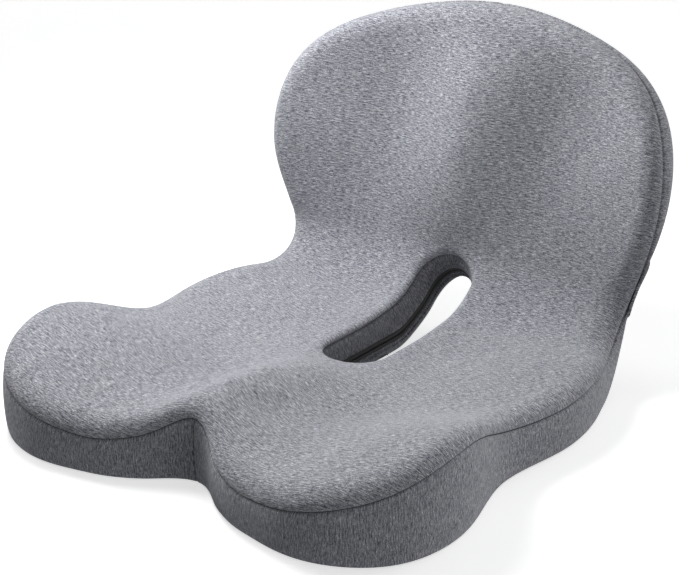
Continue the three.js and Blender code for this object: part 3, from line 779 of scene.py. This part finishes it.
def ring_uv(heights):
    lengths = wall_run[:, None] * np.ones((1, heights.shape[1]))
    return np.stack([ring(heights), lengths], -1) * MM


def liner_heights(low, high):
    return low + columns_between(high - low, LINER_STEPS) * np.ones((ROWS, 1))


lower_heights = liner_heights(wall_foot, wall_foot + SLOT_ZIP_HEIGHT - TAPE_END - GAP)
upper_heights = liner_heights(wall_foot + SLOT_ZIP_HEIGHT + TAPE_END + GAP, wall_top)
lower_sunk = dipped(points_at(lower_heights * 0, lower_heights), shares=(1, ZIP_EDGE_DIP))
upper_share = (upper_heights - upper_heights[:, :1]) / (upper_heights[:, -1:] - upper_heights[:, :1])
upper_sunk = dipped(points_at(FLARE * upper_share, upper_heights), shares=(ZIP_EDGE_DIP, 1))

# A tape's section, as (place across the zip, depth in the wall): its inner edge is a little proud, and its
# outer edge tucks in under the cloth.
TAPE_SECTION = np.array(
    [
        (ZIP_HALF, 0.05),
        (ZIP_HALF + 0.5, TAPE_DEPTH),
        (1.8, TAPE_DEPTH),
        (2.6, TAPE_DEPTH),
        (3.4, TAPE_DEPTH),
        (TAPE_END - 0.4, TAPE_DEPTH + 0.1),
        (TAPE_END + 0.1, 0.9),
        (TAPE_END + 0.5, 1.75),
        (TAPE_END + 2, 1.8),
    ]
)
for side, sign in (("lower", -1), ("upper", 1)):
    section = (TAPE_SECTION * (sign, 1))[::sign]
    heights = wall_foot + SLOT_ZIP_HEIGHT + section[None, :, 0]
    grid = points_at(heights * 0 + section[None, :, 1], heights)
    tape = shell(f"slot_zip_tape_{side}_piece", grid, ring_uv(heights), True, tape_cloth, TAPE_THICKNESS)
    finish_piece(tape, "tape", f"slot_zip_tape_{side}")


# ---- Underside: one skin from the bands' foot to the slot's foot, cut into base, heel and back panels
UNDER_COLUMNS = 44

zip_origin = place(0, BACK_ZIP_S, belly_shift(BACK_ZIP_S))
ZIP_X, ZIP_Y, ZIP_Z = np.array([(-1, 0, 0), (0, SIN, COS), (0, COS, -SIN)], float)
MOUTH_HALF = TAPE_END + GAP
MOUTH_END = BACK_ZIP_LENGTH / 2 + ZIP_STOP_LENGTH + 2 * GAP
CUT_OFFSETS = (0, 0.5, 1, 1.6, 2.4, 3.4, 5, 8)


def under_height(a):
    """Height of the outer skin: the base cloth is lifted by the grip dots, away from its seams."""
    from_seams = (span - BOTTOM_RADIUS - a, a, BASE_SEAM_S - on_sheet(a)[1])
    lift = math.prod(smooth(distance / DOT_BLEND) for distance in from_seams)
    return base_height(a) + DOT_LIFT * lift


under_width = span - BOTTOM_RADIUS
under_a = under_width - columns_between(under_width, UNDER_COLUMNS)
under_sunk = dipped(points_at(under_a, under_height(under_a)))
under_uv = ring(np.stack(on_sheet(under_a), -1) * MM).reshape(-1, 2)
under_faces, under_corner = quads(*under_a.shape, True)

# The four seams where one ring of panels meets the next, and the panels themselves
join(face_sunk, -1, band_sunk, 0)
join(band_sunk, -1, under_sunk, 0)
join(face_sunk, 0, upper_sunk, -1)
join(under_sunk, -1, lower_sunk, 0)
finish_piece(shell("face_panel_piece", face_sunk, face_uv, True, knit), "knit", "face_panel")
for name, grid, heights in (("lower", lower_sunk, lower_heights), ("upper", upper_sunk, upper_heights)):
    # the liners take the much darker copy of the knit: painted shade
    liner = shell(f"slot_liner_{name}_piece", grid, ring_uv(heights), True, knit_painted_deep_shade)
    finish_piece(liner, "knit", f"slot_liner_{name}")
for side, rows in (("right", np.arange(NOTCH, TOP + 1)), ("left", np.arange(TOP, ROWS + 1))):
    distance = band_distance[rows % ROWS]
    uv = np.stack([distance, edge_run[rows][:, None] * np.ones_like(distance)], -1) * MM
    # the bands take the darker copy of the knit: painted shade
    band = shell(f"side_band_{side}_piece", band_sunk[rows % ROWS], uv, False, knit_painted_shade)
    finish_piece(band, "knit", f"side_band_{side}")

under_uv = under_uv[under_corner]
underside = new_object("underside", under_sunk.reshape(-1, 3), under_faces, under_uv, base_cloth)


def zip_place(points):
    """Places in the rear zip's frame: along the zip, up the backrest, out of its rear."""
    return (points - zip_origin) @ np.stack([ZIP_X, ZIP_Y, ZIP_Z], 1)


FAR = 99  # a distance at which a seam has no effect
ZIP_SIDE = 100  # how far below the rear zip its seam is looked for, so that the seat has none


def seam_distance(points):
    """Distance from the base seam, the zip seam beyond the zip's ends, or the edge of the zip's mouth."""
    local = zip_place(points)
    base = np.abs(points[:, 1] - Y_SHIFT - BASE_SEAM_S)
    beyond = np.maximum(np.abs(local[:, 0]) - MOUTH_END, 0)
    mouth = np.hypot(beyond, np.abs(np.abs(local[:, 1]) - MOUTH_HALF))
    line = np.where(beyond > 0, np.abs(local[:, 1]), FAR)
    on_back = local[:, 1] > -ZIP_SIDE
    return np.minimum(base, np.where(on_back, np.minimum(mouth, line), FAR))


def cut_all():
    """Cut the underside's faces along its seams and beside them."""
    mesh = bmesh.new()
    mesh.from_mesh(underside.data)

    def cut(point, normal):
        everything = mesh.verts[:] + mesh.edges[:] + mesh.faces[:]
        bmesh.ops.bisect_plane(mesh, geom=everything, dist=1e-7, plane_co=Vector(point) * MM, plane_no=normal)

    for offset in CUT_OFFSETS:
        for sign in (-1, 1) if offset else (1,):
            cut((0, Y_SHIFT + BASE_SEAM_S + sign * offset, 0), (0, 1, 0))
            cut(zip_origin + ZIP_Y * sign * offset, ZIP_Y)
            cut(zip_origin + ZIP_Y * sign * (MOUTH_HALF + offset), ZIP_Y)
    for sign in (-1, 1):
        cut((sign * MOUTH_END, 0, 0), (1, 0, 0))
    mesh.to_mesh(underside.data)
    mesh.free()


def under_panel(name, node, chosen, cloth, slot):
    """The faces of the underside that chosen picks, sunk at their seams and thickened."""
    mesh = bmesh.new()
    mesh.from_mesh(underside.data)
    mesh.faces.ensure_lookup_table()
    centres = np.array([face.calc_center_median() for face in mesh.faces]) / MM
    keep = chosen(centres, zip_place(centres))
    bmesh.ops.delete(mesh, geom=[face for face, kept in zip(mesh.faces, keep) if not kept], context="FACES")
    mesh.verts.ensure_lookup_table()
    depth = seam_dip(seam_distance(np.array([v.co for v in mesh.verts]) / MM))
    for vertex, sink in zip(mesh.verts, depth):
        vertex.co -= vertex.normal * sink * MM
    data = bpy.data.meshes.new(name)
    mesh.to_mesh(data)
    mesh.free()
    data.materials.append(cloth)
    obj = bpy.data.objects.new(name, data)
    bpy.context.scene.collection.objects.link(obj)
    thicken = obj.modifiers.new("cloth", "SOLIDIFY")
    thicken.thickness = CLOTH * MM
    thicken.offset = -1
    finished = bpy.data.meshes.new_from_object(obj.evaluated_get(bpy.context.evaluated_depsgraph_get()))
    obj.modifiers.clear()
    obj.data = finished
    return finish_piece(obj, slot, node)


def in_mouth(local):
    return (np.abs(local[:, 0]) < MOUTH_END) & (np.abs(local[:, 1]) < MOUTH_HALF)


def is_base(centres):
    return centres[:, 1] - Y_SHIFT < BASE_SEAM_S


cut_all()
under_panel("base_panel_piece", "base_panel", lambda c, z: is_base(c), base_cloth, "base_cloth")
heel = under_panel(
    "heel_panel_piece",
    "heel_panel",
    lambda c, z: ~is_base(c) & (z[:, 1] < 0) & ~in_mouth(z),
    # the heel panel takes the darker copy of the knit: painted shade
    knit_painted_shade,
    "knit",
)
under_panel(
    "back_panel_piece", "back_panel", lambda c, z: ~is_base(c) & (z[:, 1] > 0) & ~in_mouth(z), knit, "knit"
)
bpy.data.objects.remove(underside)

# ---- Grip dots printed on the base cloth ----
DOT_SIDES = 8
DOT_RINGS = ((1.0, DOT_LIFT + 0.3), (0.86, 0.12), (0.5, 0.0))
DOT_MARGIN = 13
DOT_FIELD = 221  # half the width that the rows of dots are laid over
DOT_FIRST_S = -60
ROW_SHARE = 0.866  # pitch of the rows over the pitch in a row


def inside_outline(u, s):
    """Whether each place is inside the outline, by how often a line from it crosses the edge."""
    inside = np.zeros(len(u), bool)
    for i in range(ROWS):
        u1, s1, u2, s2 = edge_u[i - 1], edge_s[i - 1], edge_u[i], edge_s[i]
        crosses = (s1 > s) != (s2 > s)
        step = (s2 - s1) if s2 != s1 else 1
        inside ^= crosses & (u < (u2 - u1) * (s - s1) / step + u1)
    return inside


dot_rows = []
for row, s in enumerate(np.arange(DOT_FIRST_S, BASE_SEAM_S - DOT_MARGIN, DOT_PITCH * ROW_SHARE)):
    shift = DOT_PITCH / 2 * (row % 2)
    dot_rows += [(u, s) for u in np.arange(shift - DOT_FIELD, DOT_FIELD + 1, DOT_PITCH)]
dots = np.array(dot_rows)
from_edge = np.sqrt(((dots[:, None] - np.stack([edge_u, edge_s], -1)[None]) ** 2).sum(-1)).min(1)
slot_s = np.clip(dots[:, 1], SLOT_START + SLOT_RADIUS, SLOT_END - SLOT_RADIUS)
from_slot = np.hypot(dots[:, 0], dots[:, 1] - slot_s) - SLOT_RADIUS
dots = dots[inside_outline(*dots.T) & (from_edge > DOT_MARGIN) & (from_slot > DOT_MARGIN)]
dot_angle = np.arange(DOT_SIDES) * 2 * math.pi / DOT_SIDES
dot_circle = np.stack([np.cos(dot_angle), -np.sin(dot_angle)], -1) * DOT_RADIUS
dot_vertices = []
for share, z in DOT_RINGS:
    circle = dots[:, None] + dot_circle[None] * share
    dot_vertices.append(np.concatenate([circle, np.full((len(dots), DOT_SIDES, 1), z)], -1))
dot_vertices = np.concatenate(dot_vertices, 1) + (0, Y_SHIFT, 0)
dot_faces = repeated(ring_faces(len(DOT_RINGS), DOT_SIDES), *dot_vertices.shape[:2])
grip_dots = new_object("grip_dots", dot_vertices.reshape(-1, 3), dot_faces, None, silicone)
finish_piece(grip_dots, "base_cloth")

# ---- Coils: a strip whose inner edge and outer face swell at every turn of the coil ----
COIL_TOP = TAPE_DEPTH + TAPE_THICKNESS + GAP
COIL_STEPS = 6  # rows to each turn
COIL_ACROSS = np.array([0, 0.25, 0.6, 1.2, 1.8, COIL_WIDTH])
COIL_SWELL = 0.35  # how far each turn reaches into the slit
COIL_SWELL_REACH = 0.4
COIL_RIDGE = 0.3  # depth between turns
COIL_CROWN = 0.25  # rounding of the strip's outer face
COIL_SHELL = COIL_THICKNESS - 0.5


def coil_shape(length, sign):
    """Across and depth of a coil's outer layer at each place along it; the two coils' turns alternate."""
    turn = np.cos(2 * math.pi * length[:, None] / COIL_PITCH + (0 if sign > 0 else math.pi))
    swell = COIL_SWELL * (0.5 + 0.5 * turn) * np.exp(-COIL_ACROSS[None] / COIL_SWELL_REACH)
    across = ZIP_HALF + COIL_ACROSS[None] - swell
    crown = np.sin(math.pi * COIL_ACROSS[None] / COIL_WIDTH)
    depth = COIL_TOP + COIL_RIDGE * (0.5 - 0.5 * turn) + COIL_CROWN * (1 - crown)
    return sign * across[:, ::sign], depth[:, ::sign]


def coil_rows(total):
    return np.arange(0, total, COIL_PITCH / COIL_STEPS)


ring_points = points_at(at_foot, wall_foot + SLOT_ZIP_HEIGHT)[:, 0]
ring_length = along(ring(ring_points)[:, None], 0)[:, 0]


def on_ring(values, lengths):
    """Values at the stations, interpolated at lengths along the slot's zip."""
    return np.stack([np.interp(lengths, ring_length, column) for column in ring(values).T], -1)


lengths = coil_rows(ring_length[-1])
wall_way = np.concatenate([way, np.zeros((ROWS, 1))], 1)  # out of the slot, into the foam
up_way = points_at(at_foot, wall_foot + SLOT_ZIP_HEIGHT + 1)[:, 0] - ring_points
for side, sign in (("lower", -1), ("upper", 1)):
    across, depth = coil_shape(lengths, sign)
    middle, into, up = (on_ring(v, lengths)[:, None] for v in (ring_points, wall_way, up_way))
    grid = middle + into * depth[..., None] + up * across[..., None]
    uv = np.stack([across, lengths[:, None] * np.ones_like(across)], -1) * MM
    coil = shell(f"slot_zip_coil_{side}_piece", grid, uv, True, nylon, COIL_SHELL)
    finish_piece(coil, "nylon", f"slot_zip_coil_{side}")


def from_zip(x, y, z):
    """Points of the object from places in the rear zip's frame."""
    x, y, z = np.broadcast_arrays(x, y, z)
    return zip_origin + x[..., None] * ZIP_X + y[..., None] * ZIP_Y + z[..., None] * ZIP_Z


BACK_TAPE_ACROSS = np.array([ZIP_HALF, ZIP_HALF + 0.5, 1.6, 2.4, 3.2, TAPE_END - 0.3, TAPE_END])
BACK_TAPE_ROWS = 160
TAPE_BEAD = 0.12  # how proud the tape's inner edge is
TAPE_BEAD_REACH = 0.4
for side, sign in (("lower", -1), ("upper", 1)):
    x = np.linspace(MOUTH_END - GAP, GAP - MOUTH_END, BACK_TAPE_ROWS)[:, None]
    across = np.sort(sign * BACK_TAPE_ACROSS)[None]
    bead = TAPE_BEAD * np.exp(-(((np.abs(across) - ZIP_HALF) / TAPE_BEAD_REACH) ** 2))
    grid = from_zip(x, across, -TAPE_DEPTH + bead)
    uv = np.stack(np.broadcast_arrays(across, x), -1) * MM
    tape = shell(f"back_zip_tape_{side}_piece", grid, uv, False, tape_cloth, TAPE_THICKNESS)
    finish_piece(tape, "tape", f"back_zip_tape_{side}")
    x = BACK_ZIP_LENGTH / 2 - coil_rows(BACK_ZIP_LENGTH)
    across, depth = coil_shape(x, sign)
    grid = from_zip(x[:, None], across, -depth)
    uv = np.stack(np.broadcast_arrays(across, x[:, None]), -1) * MM
    coil = shell(f"back_zip_coil_{side}_piece", grid, uv, False, nylon, COIL_SHELL)
    finish_piece(coil, "nylon", f"back_zip_coil_{side}")

# ---- Guard strips: near-black cloth behind each zip, painted shade in its slit, so that no foam shows through it ----
GUARD_HALF = 4.0
GUARD_DEPTH = 5.2
GUARD_THICKNESS = 0.4
GUARD_SAG = 0.2  # how much deeper its edges lie
GUARD_COLUMNS = 9
GUARD_ROWS = 120
guard_across = np.linspace(-GUARD_HALF, GUARD_HALF, GUARD_COLUMNS)[None]
guard_depth = GUARD_DEPTH + GUARD_SAG * (guard_across / GUARD_HALF) ** 2
guard_heights = wall_foot + SLOT_ZIP_HEIGHT + guard_across
guard_grid = points_at(guard_heights * 0 + guard_depth, guard_heights)
guard = shell("slot_zip_shade_guard_piece", guard_grid, ring_uv(guard_heights), True, tape_cloth, GUARD_THICKNESS)
finish_piece(guard, "tape")
guard_x = np.linspace(MOUTH_END - GAP, GAP - MOUTH_END, GUARD_ROWS)[:, None]
guard_grid = from_zip(guard_x, guard_across, -guard_depth)
guard_uv = np.stack(np.broadcast_arrays(guard_across, guard_x), -1) * MM
guard = shell("back_zip_shade_guard_piece", guard_grid, guard_uv, False, tape_cloth, GUARD_THICKNESS)
finish_piece(guard, "tape")

# ---- Foam core: the whole section set in, all the way round ----
FOAM_STEP = 3  # every third station
FOAM_DEPTH = CLOTH + 2 * GAP
FOAM_FLARE_SHARE = 0.6  # the foam's last ring up the wall, between the zip and the rim
FOAM_BASE_COLUMNS = 16
SEAM_ROOM = 2.2  # how much deeper the foam lies at a seam
GROOVE_ROOM = 5  # and behind a zip
GROOVE_END = 8  # the rear zip's groove runs this far past its mouth
GROOVE_LAYER = 12  # it is cut only this near to the zip's plane
GROOVE_EDGE = 22  # its edge across the zip
GROOVE_SLOPE = 12  # the width of its sloping side
wall_steps = [0, 4]
for sign in (-1, 1):
    zip_edge = SLOT_ZIP_HEIGHT + sign * TAPE_END
    wall_steps += sorted([zip_edge, zip_edge + sign])
foam_wall = wall_foot + np.array([wall_steps])
foam_wall = np.hstack([foam_wall, mix(foam_wall[:, -1:], wall_top, FOAM_FLARE_SHARE)])
foam_wall_a = foam_wall * 0
foam_wall_a[:, -1] = FOAM_FLARE_SHARE * FLARE
foam_base = under_width * np.linspace(1, 0, FOAM_BASE_COLUMNS)[None, 1:-1]
foam_parts = [
    (foam_wall, foam_wall_a, np.array([0, 0, 0, GROOVE_ROOM, GROOVE_ROOM, 0, 0])),
    (roll_h[:, ::2], roll_a[:, ::2], np.array([SEAM_ROOM, 0.5, 0, 0, 0])),
    (face_height(flat_a[:, ::2]), flat_a[:, ::2], np.zeros(flat_a[:, ::2].shape[1])),
    (shoulder_h[:, ::4], shoulder_a[:, ::4], np.zeros(shoulder_a[:, ::4].shape[1])),
    (band_top, span, np.array([SEAM_ROOM])),
    (band_h[:, 3::6], band_a[:, 3::6], np.zeros(band_a[:, 3::6].shape[1])),
    (bottom_h[:, ::3], bottom_a[:, ::3], np.array([0, 0.5, SEAM_ROOM])),
    (base_height(foam_base), foam_base, np.zeros(foam_base.shape[1])),
]
foam_h = np.hstack([part[0] for part in foam_parts])
foam_a = np.hstack([part[1] for part in foam_parts])
foam_depth = FOAM_DEPTH + np.concatenate([part[2] for part in foam_parts])
foam_skin = points_at(foam_a, foam_h)[::FOAM_STEP]
foam_across = np.roll(foam_skin, -1, 1) - np.roll(foam_skin, 1, 1)
foam_down = np.roll(foam_skin, -1, 0) - np.roll(foam_skin, 1, 0)
foam_normal = np.cross(foam_across, foam_down)
foam_normal /= np.linalg.norm(foam_normal, axis=-1, keepdims=True)
zip_along, zip_across, zip_out = np.moveaxis(np.abs(zip_place(foam_skin)), -1, 0)
near_zip = (zip_along < MOUTH_END + GROOVE_END) & (zip_out < GROOVE_LAYER)
zip_groove = GROOVE_ROOM * near_zip * smooth((GROOVE_EDGE - zip_across) / GROOVE_SLOPE)
foam_grid = foam_skin - foam_normal * (foam_depth[None, :] + zip_groove)[..., None]
corner = np.arange(foam_grid[..., 0].size).reshape(foam_grid.shape[:2])
right, below = np.roll(corner, -1, 1), np.roll(corner, -1, 0)
foam_faces = np.stack([corner, right, np.roll(right, -1, 0), below], -1).reshape(-1, 4)
foam_core = new_object("foam_core_piece", foam_grid.reshape(-1, 3), foam_faces, None, foam)
finish_piece(foam_core, "foam", "foam_core")

# ---- Care label: a blank folded tab sewn in below the rear zip ----
LABEL_CURL = 0.9  # how far its free end stands off
LABEL_RIPPLE = 0.35
LABEL_RIPPLE_LENGTH = 7
label_y = np.linspace(0, 1, 18)[None]
label_x = np.linspace(0.5, -0.5, 12)[:, None] * LABEL_WIDTH
label_ripple = LABEL_RIPPLE * np.sin(label_x / LABEL_RIPPLE_LENGTH) * label_y
label_lift = LABEL_THICKNESS + GAP + LABEL_CURL * label_y**2 + label_ripple
label_top = -MOUTH_HALF - GAP
label_grid = from_zip(LABEL_X + label_x, label_top - (1 - label_y) * LABEL_LENGTH, label_lift[:, ::-1])
label_uv = np.stack(np.broadcast_arrays(label_x, label_y * LABEL_LENGTH), -1) * MM
label = shell("care_label_piece", label_grid, label_uv, False, label_cloth, LABEL_THICKNESS)
finish_piece(label, "label", "care_label")

# ---- Stitches: threads across a seam's groove ----
STITCH_REACH = 0.6
STITCH_SKEW = 0.5
STITCH_LIFT = 0.35
STITCH_RADIUS = 0.17


def stitches(name, line, normal):
    """Slanted threads that bridge a seam: line is its points, normal the way out of the cover."""
    run = along(line[:, None], 0)[:, 0]
    places = np.arange(STITCH_PITCH / 2, run[-1], STITCH_PITCH)
    point, out, ahead = (
        np.stack([np.interp(places, run, values[:, k]) for k in range(3)], -1)
        for values in (line, normal, np.gradient(line, axis=0))
    )
    ahead /= np.linalg.norm(ahead, axis=1, keepdims=True)
    out /= np.linalg.norm(out, axis=1, keepdims=True)
    side = np.cross(ahead, out)
    point = point + out * STITCH_LIFT
    half = side * STITCH_REACH + ahead * STITCH_SKEW
    return finish_piece(capsules(name, point - half, point + half, STITCH_RADIUS, thread), "knit")


face_normals, band_normals = grid_normals(face_grid, True), grid_normals(band_grid, True)
edge_out = face_normals[:, -3] + band_normals[:, 3]
stitches("edge_seam_stitches", ring(face_sunk[:, -1]), ring(edge_out))
mouth_out = face_normals[:, 2] * 0.3 - wall_way
stitches("slot_mouth_stitches", ring(face_sunk[:, 0]), ring(mouth_out))
foot_out = band_normals[:, -3] + (0, 0, -0.5)
stitches("base_edge_stitches", ring(band_sunk[:, -1]), ring(foot_out))
stitches("notch_seam_stitches", band_sunk[NOTCH], band_normals[NOTCH])
stitches("top_seam_stitches", band_sunk[TOP], band_normals[TOP])

# ---- Zip hardware keeps its CAD shape, with its edges eased ----
HARDWARE = ("slider", "puller", "top_stop", "bottom_stop")
EASED_WIDTH = 0.22
EASED_ANGLE = math.radians(35)
for prefix in ("slot_zip", "back_zip"):
    for part in HARDWARE:
        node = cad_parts[f"{prefix}_{part}"]
        node.data.materials.clear()
        node.data.materials.append(zip_metal)
        ease = node.modifiers.new("eased_edges", "BEVEL")
        ease.width = EASED_WIDTH * MM
        ease.segments = 2
        ease.limit_method = "ANGLE"
        ease.angle_limit = EASED_ANGLE

# ---- Camera, floor and light
CAMERA_PLACE = (0.80115, -1.08727, 0.64005)
CAMERA_PITCH = math.radians(90 - 21.8)
CAMERA_TURN = math.radians(36.67)
CAMERA_LENS = 92.59

camera = bpy.data.objects.new("camera", bpy.data.cameras.new("camera"))
camera.location = CAMERA_PLACE
camera.rotation_euler = (CAMERA_PITCH, 0, CAMERA_TURN)
camera.data.lens = CAMERA_LENS
camera.data.sensor_width = 36
camera.data.clip_end = 20
bpy.context.scene.collection.objects.link(camera)
bpy.context.scene.camera = camera

# The floor turns up into a backdrop all round. It is pale without lighting the object from below.
FLOOR_RADIUS = 3.2
WALL_RADIUS = 1.4
WALL_TOP = 6
FLOOR_SIDES = 64
FLOOR_GLOW = 0.62
WORLD_LIGHT = 0.13
rise_angles = np.linspace(0, math.pi / 2, 10)
profile = [(r, 0.0) for r in (0.001, 0.5, 1, 2)]
profile += [(FLOOR_RADIUS + WALL_RADIUS * math.sin(a), WALL_RADIUS * (1 - math.cos(a))) for a in rise_angles]
profile.append((FLOOR_RADIUS + WALL_RADIUS, WALL_TOP))
profile = np.array(profile)
turns = np.arange(FLOOR_SIDES) * 2 * math.pi / FLOOR_SIDES
backdrop = np.stack(
    [
        profile[None, :, 0] * np.cos(turns)[:, None],
        profile[None, :, 0] * np.sin(turns)[:, None],
        profile[None, :, 1] * np.ones((FLOOR_SIDES, 1)),
    ],
    -1,
)
floor_material, _, floor_shader = material("floor", 0.9, colour=(0.8, 0.8, 0.8))
floor_shader.inputs["Emission Color"].default_value = (1, 1, 1, 1)
floor_shader.inputs["Emission Strength"].default_value = FLOOR_GLOW
floor_faces, _ = quads(FLOOR_SIDES, len(profile), True)
floor = new_object("floor", backdrop.reshape(-1, 3) / MM, floor_faces, None, floor_material)
floor.visible_diffuse = False
floor.visible_shadow = False

world = bpy.data.worlds.new("world")
world.use_nodes = True
background = world.node_tree.nodes["Background"]
background.inputs["Color"].default_value = (0.96, 0.98, 1, 1)
background.inputs["Strength"].default_value = WORLD_LIGHT
bpy.context.scene.world = world


def soft_light(name, toward, power, spread):
    """Distant soft light that comes from the direction toward, over a disc of that many degrees."""
    data = bpy.data.lights.new(name, "SUN")
    data.energy = power
    data.angle = math.radians(spread)
    light = bpy.data.objects.new(name, data)
    light.rotation_euler = Vector(toward).to_track_quat("Z", "Y").to_euler()
    bpy.context.scene.collection.objects.link(light)


SOFTBOX_AIM = (0, 0, 0.1)


def softbox(name, place, size, power):
    """Square area light at a place in metres, turned to the middle of the object."""
    data = bpy.data.lights.new(name, "AREA")
    data.size = size
    data.energy = power
    light = bpy.data.objects.new(name, data)
    light.location = place
    light.rotation_euler = (Vector(place) - Vector(SOFTBOX_AIM)).to_track_quat("Z", "Y").to_euler()
    light.visible_camera = False
    bpy.context.scene.collection.objects.link(light)


softbox("key", (-0.3, -0.03, 0.6), 0.3, 3.8)
soft_light("left", (-0.95, 0.02, 0.22), 1.0, 12)
soft_light("top", (-0.1, 0.4, 1), 0.25, 60)
soft_light("right", (0.93, -0.2, 0.1), 0.6, 40)
soft_light("rear", (0.35, 0.9, 0.25), 1.2, 50)
bpy.context.scene.view_settings.view_transform = "Standard"
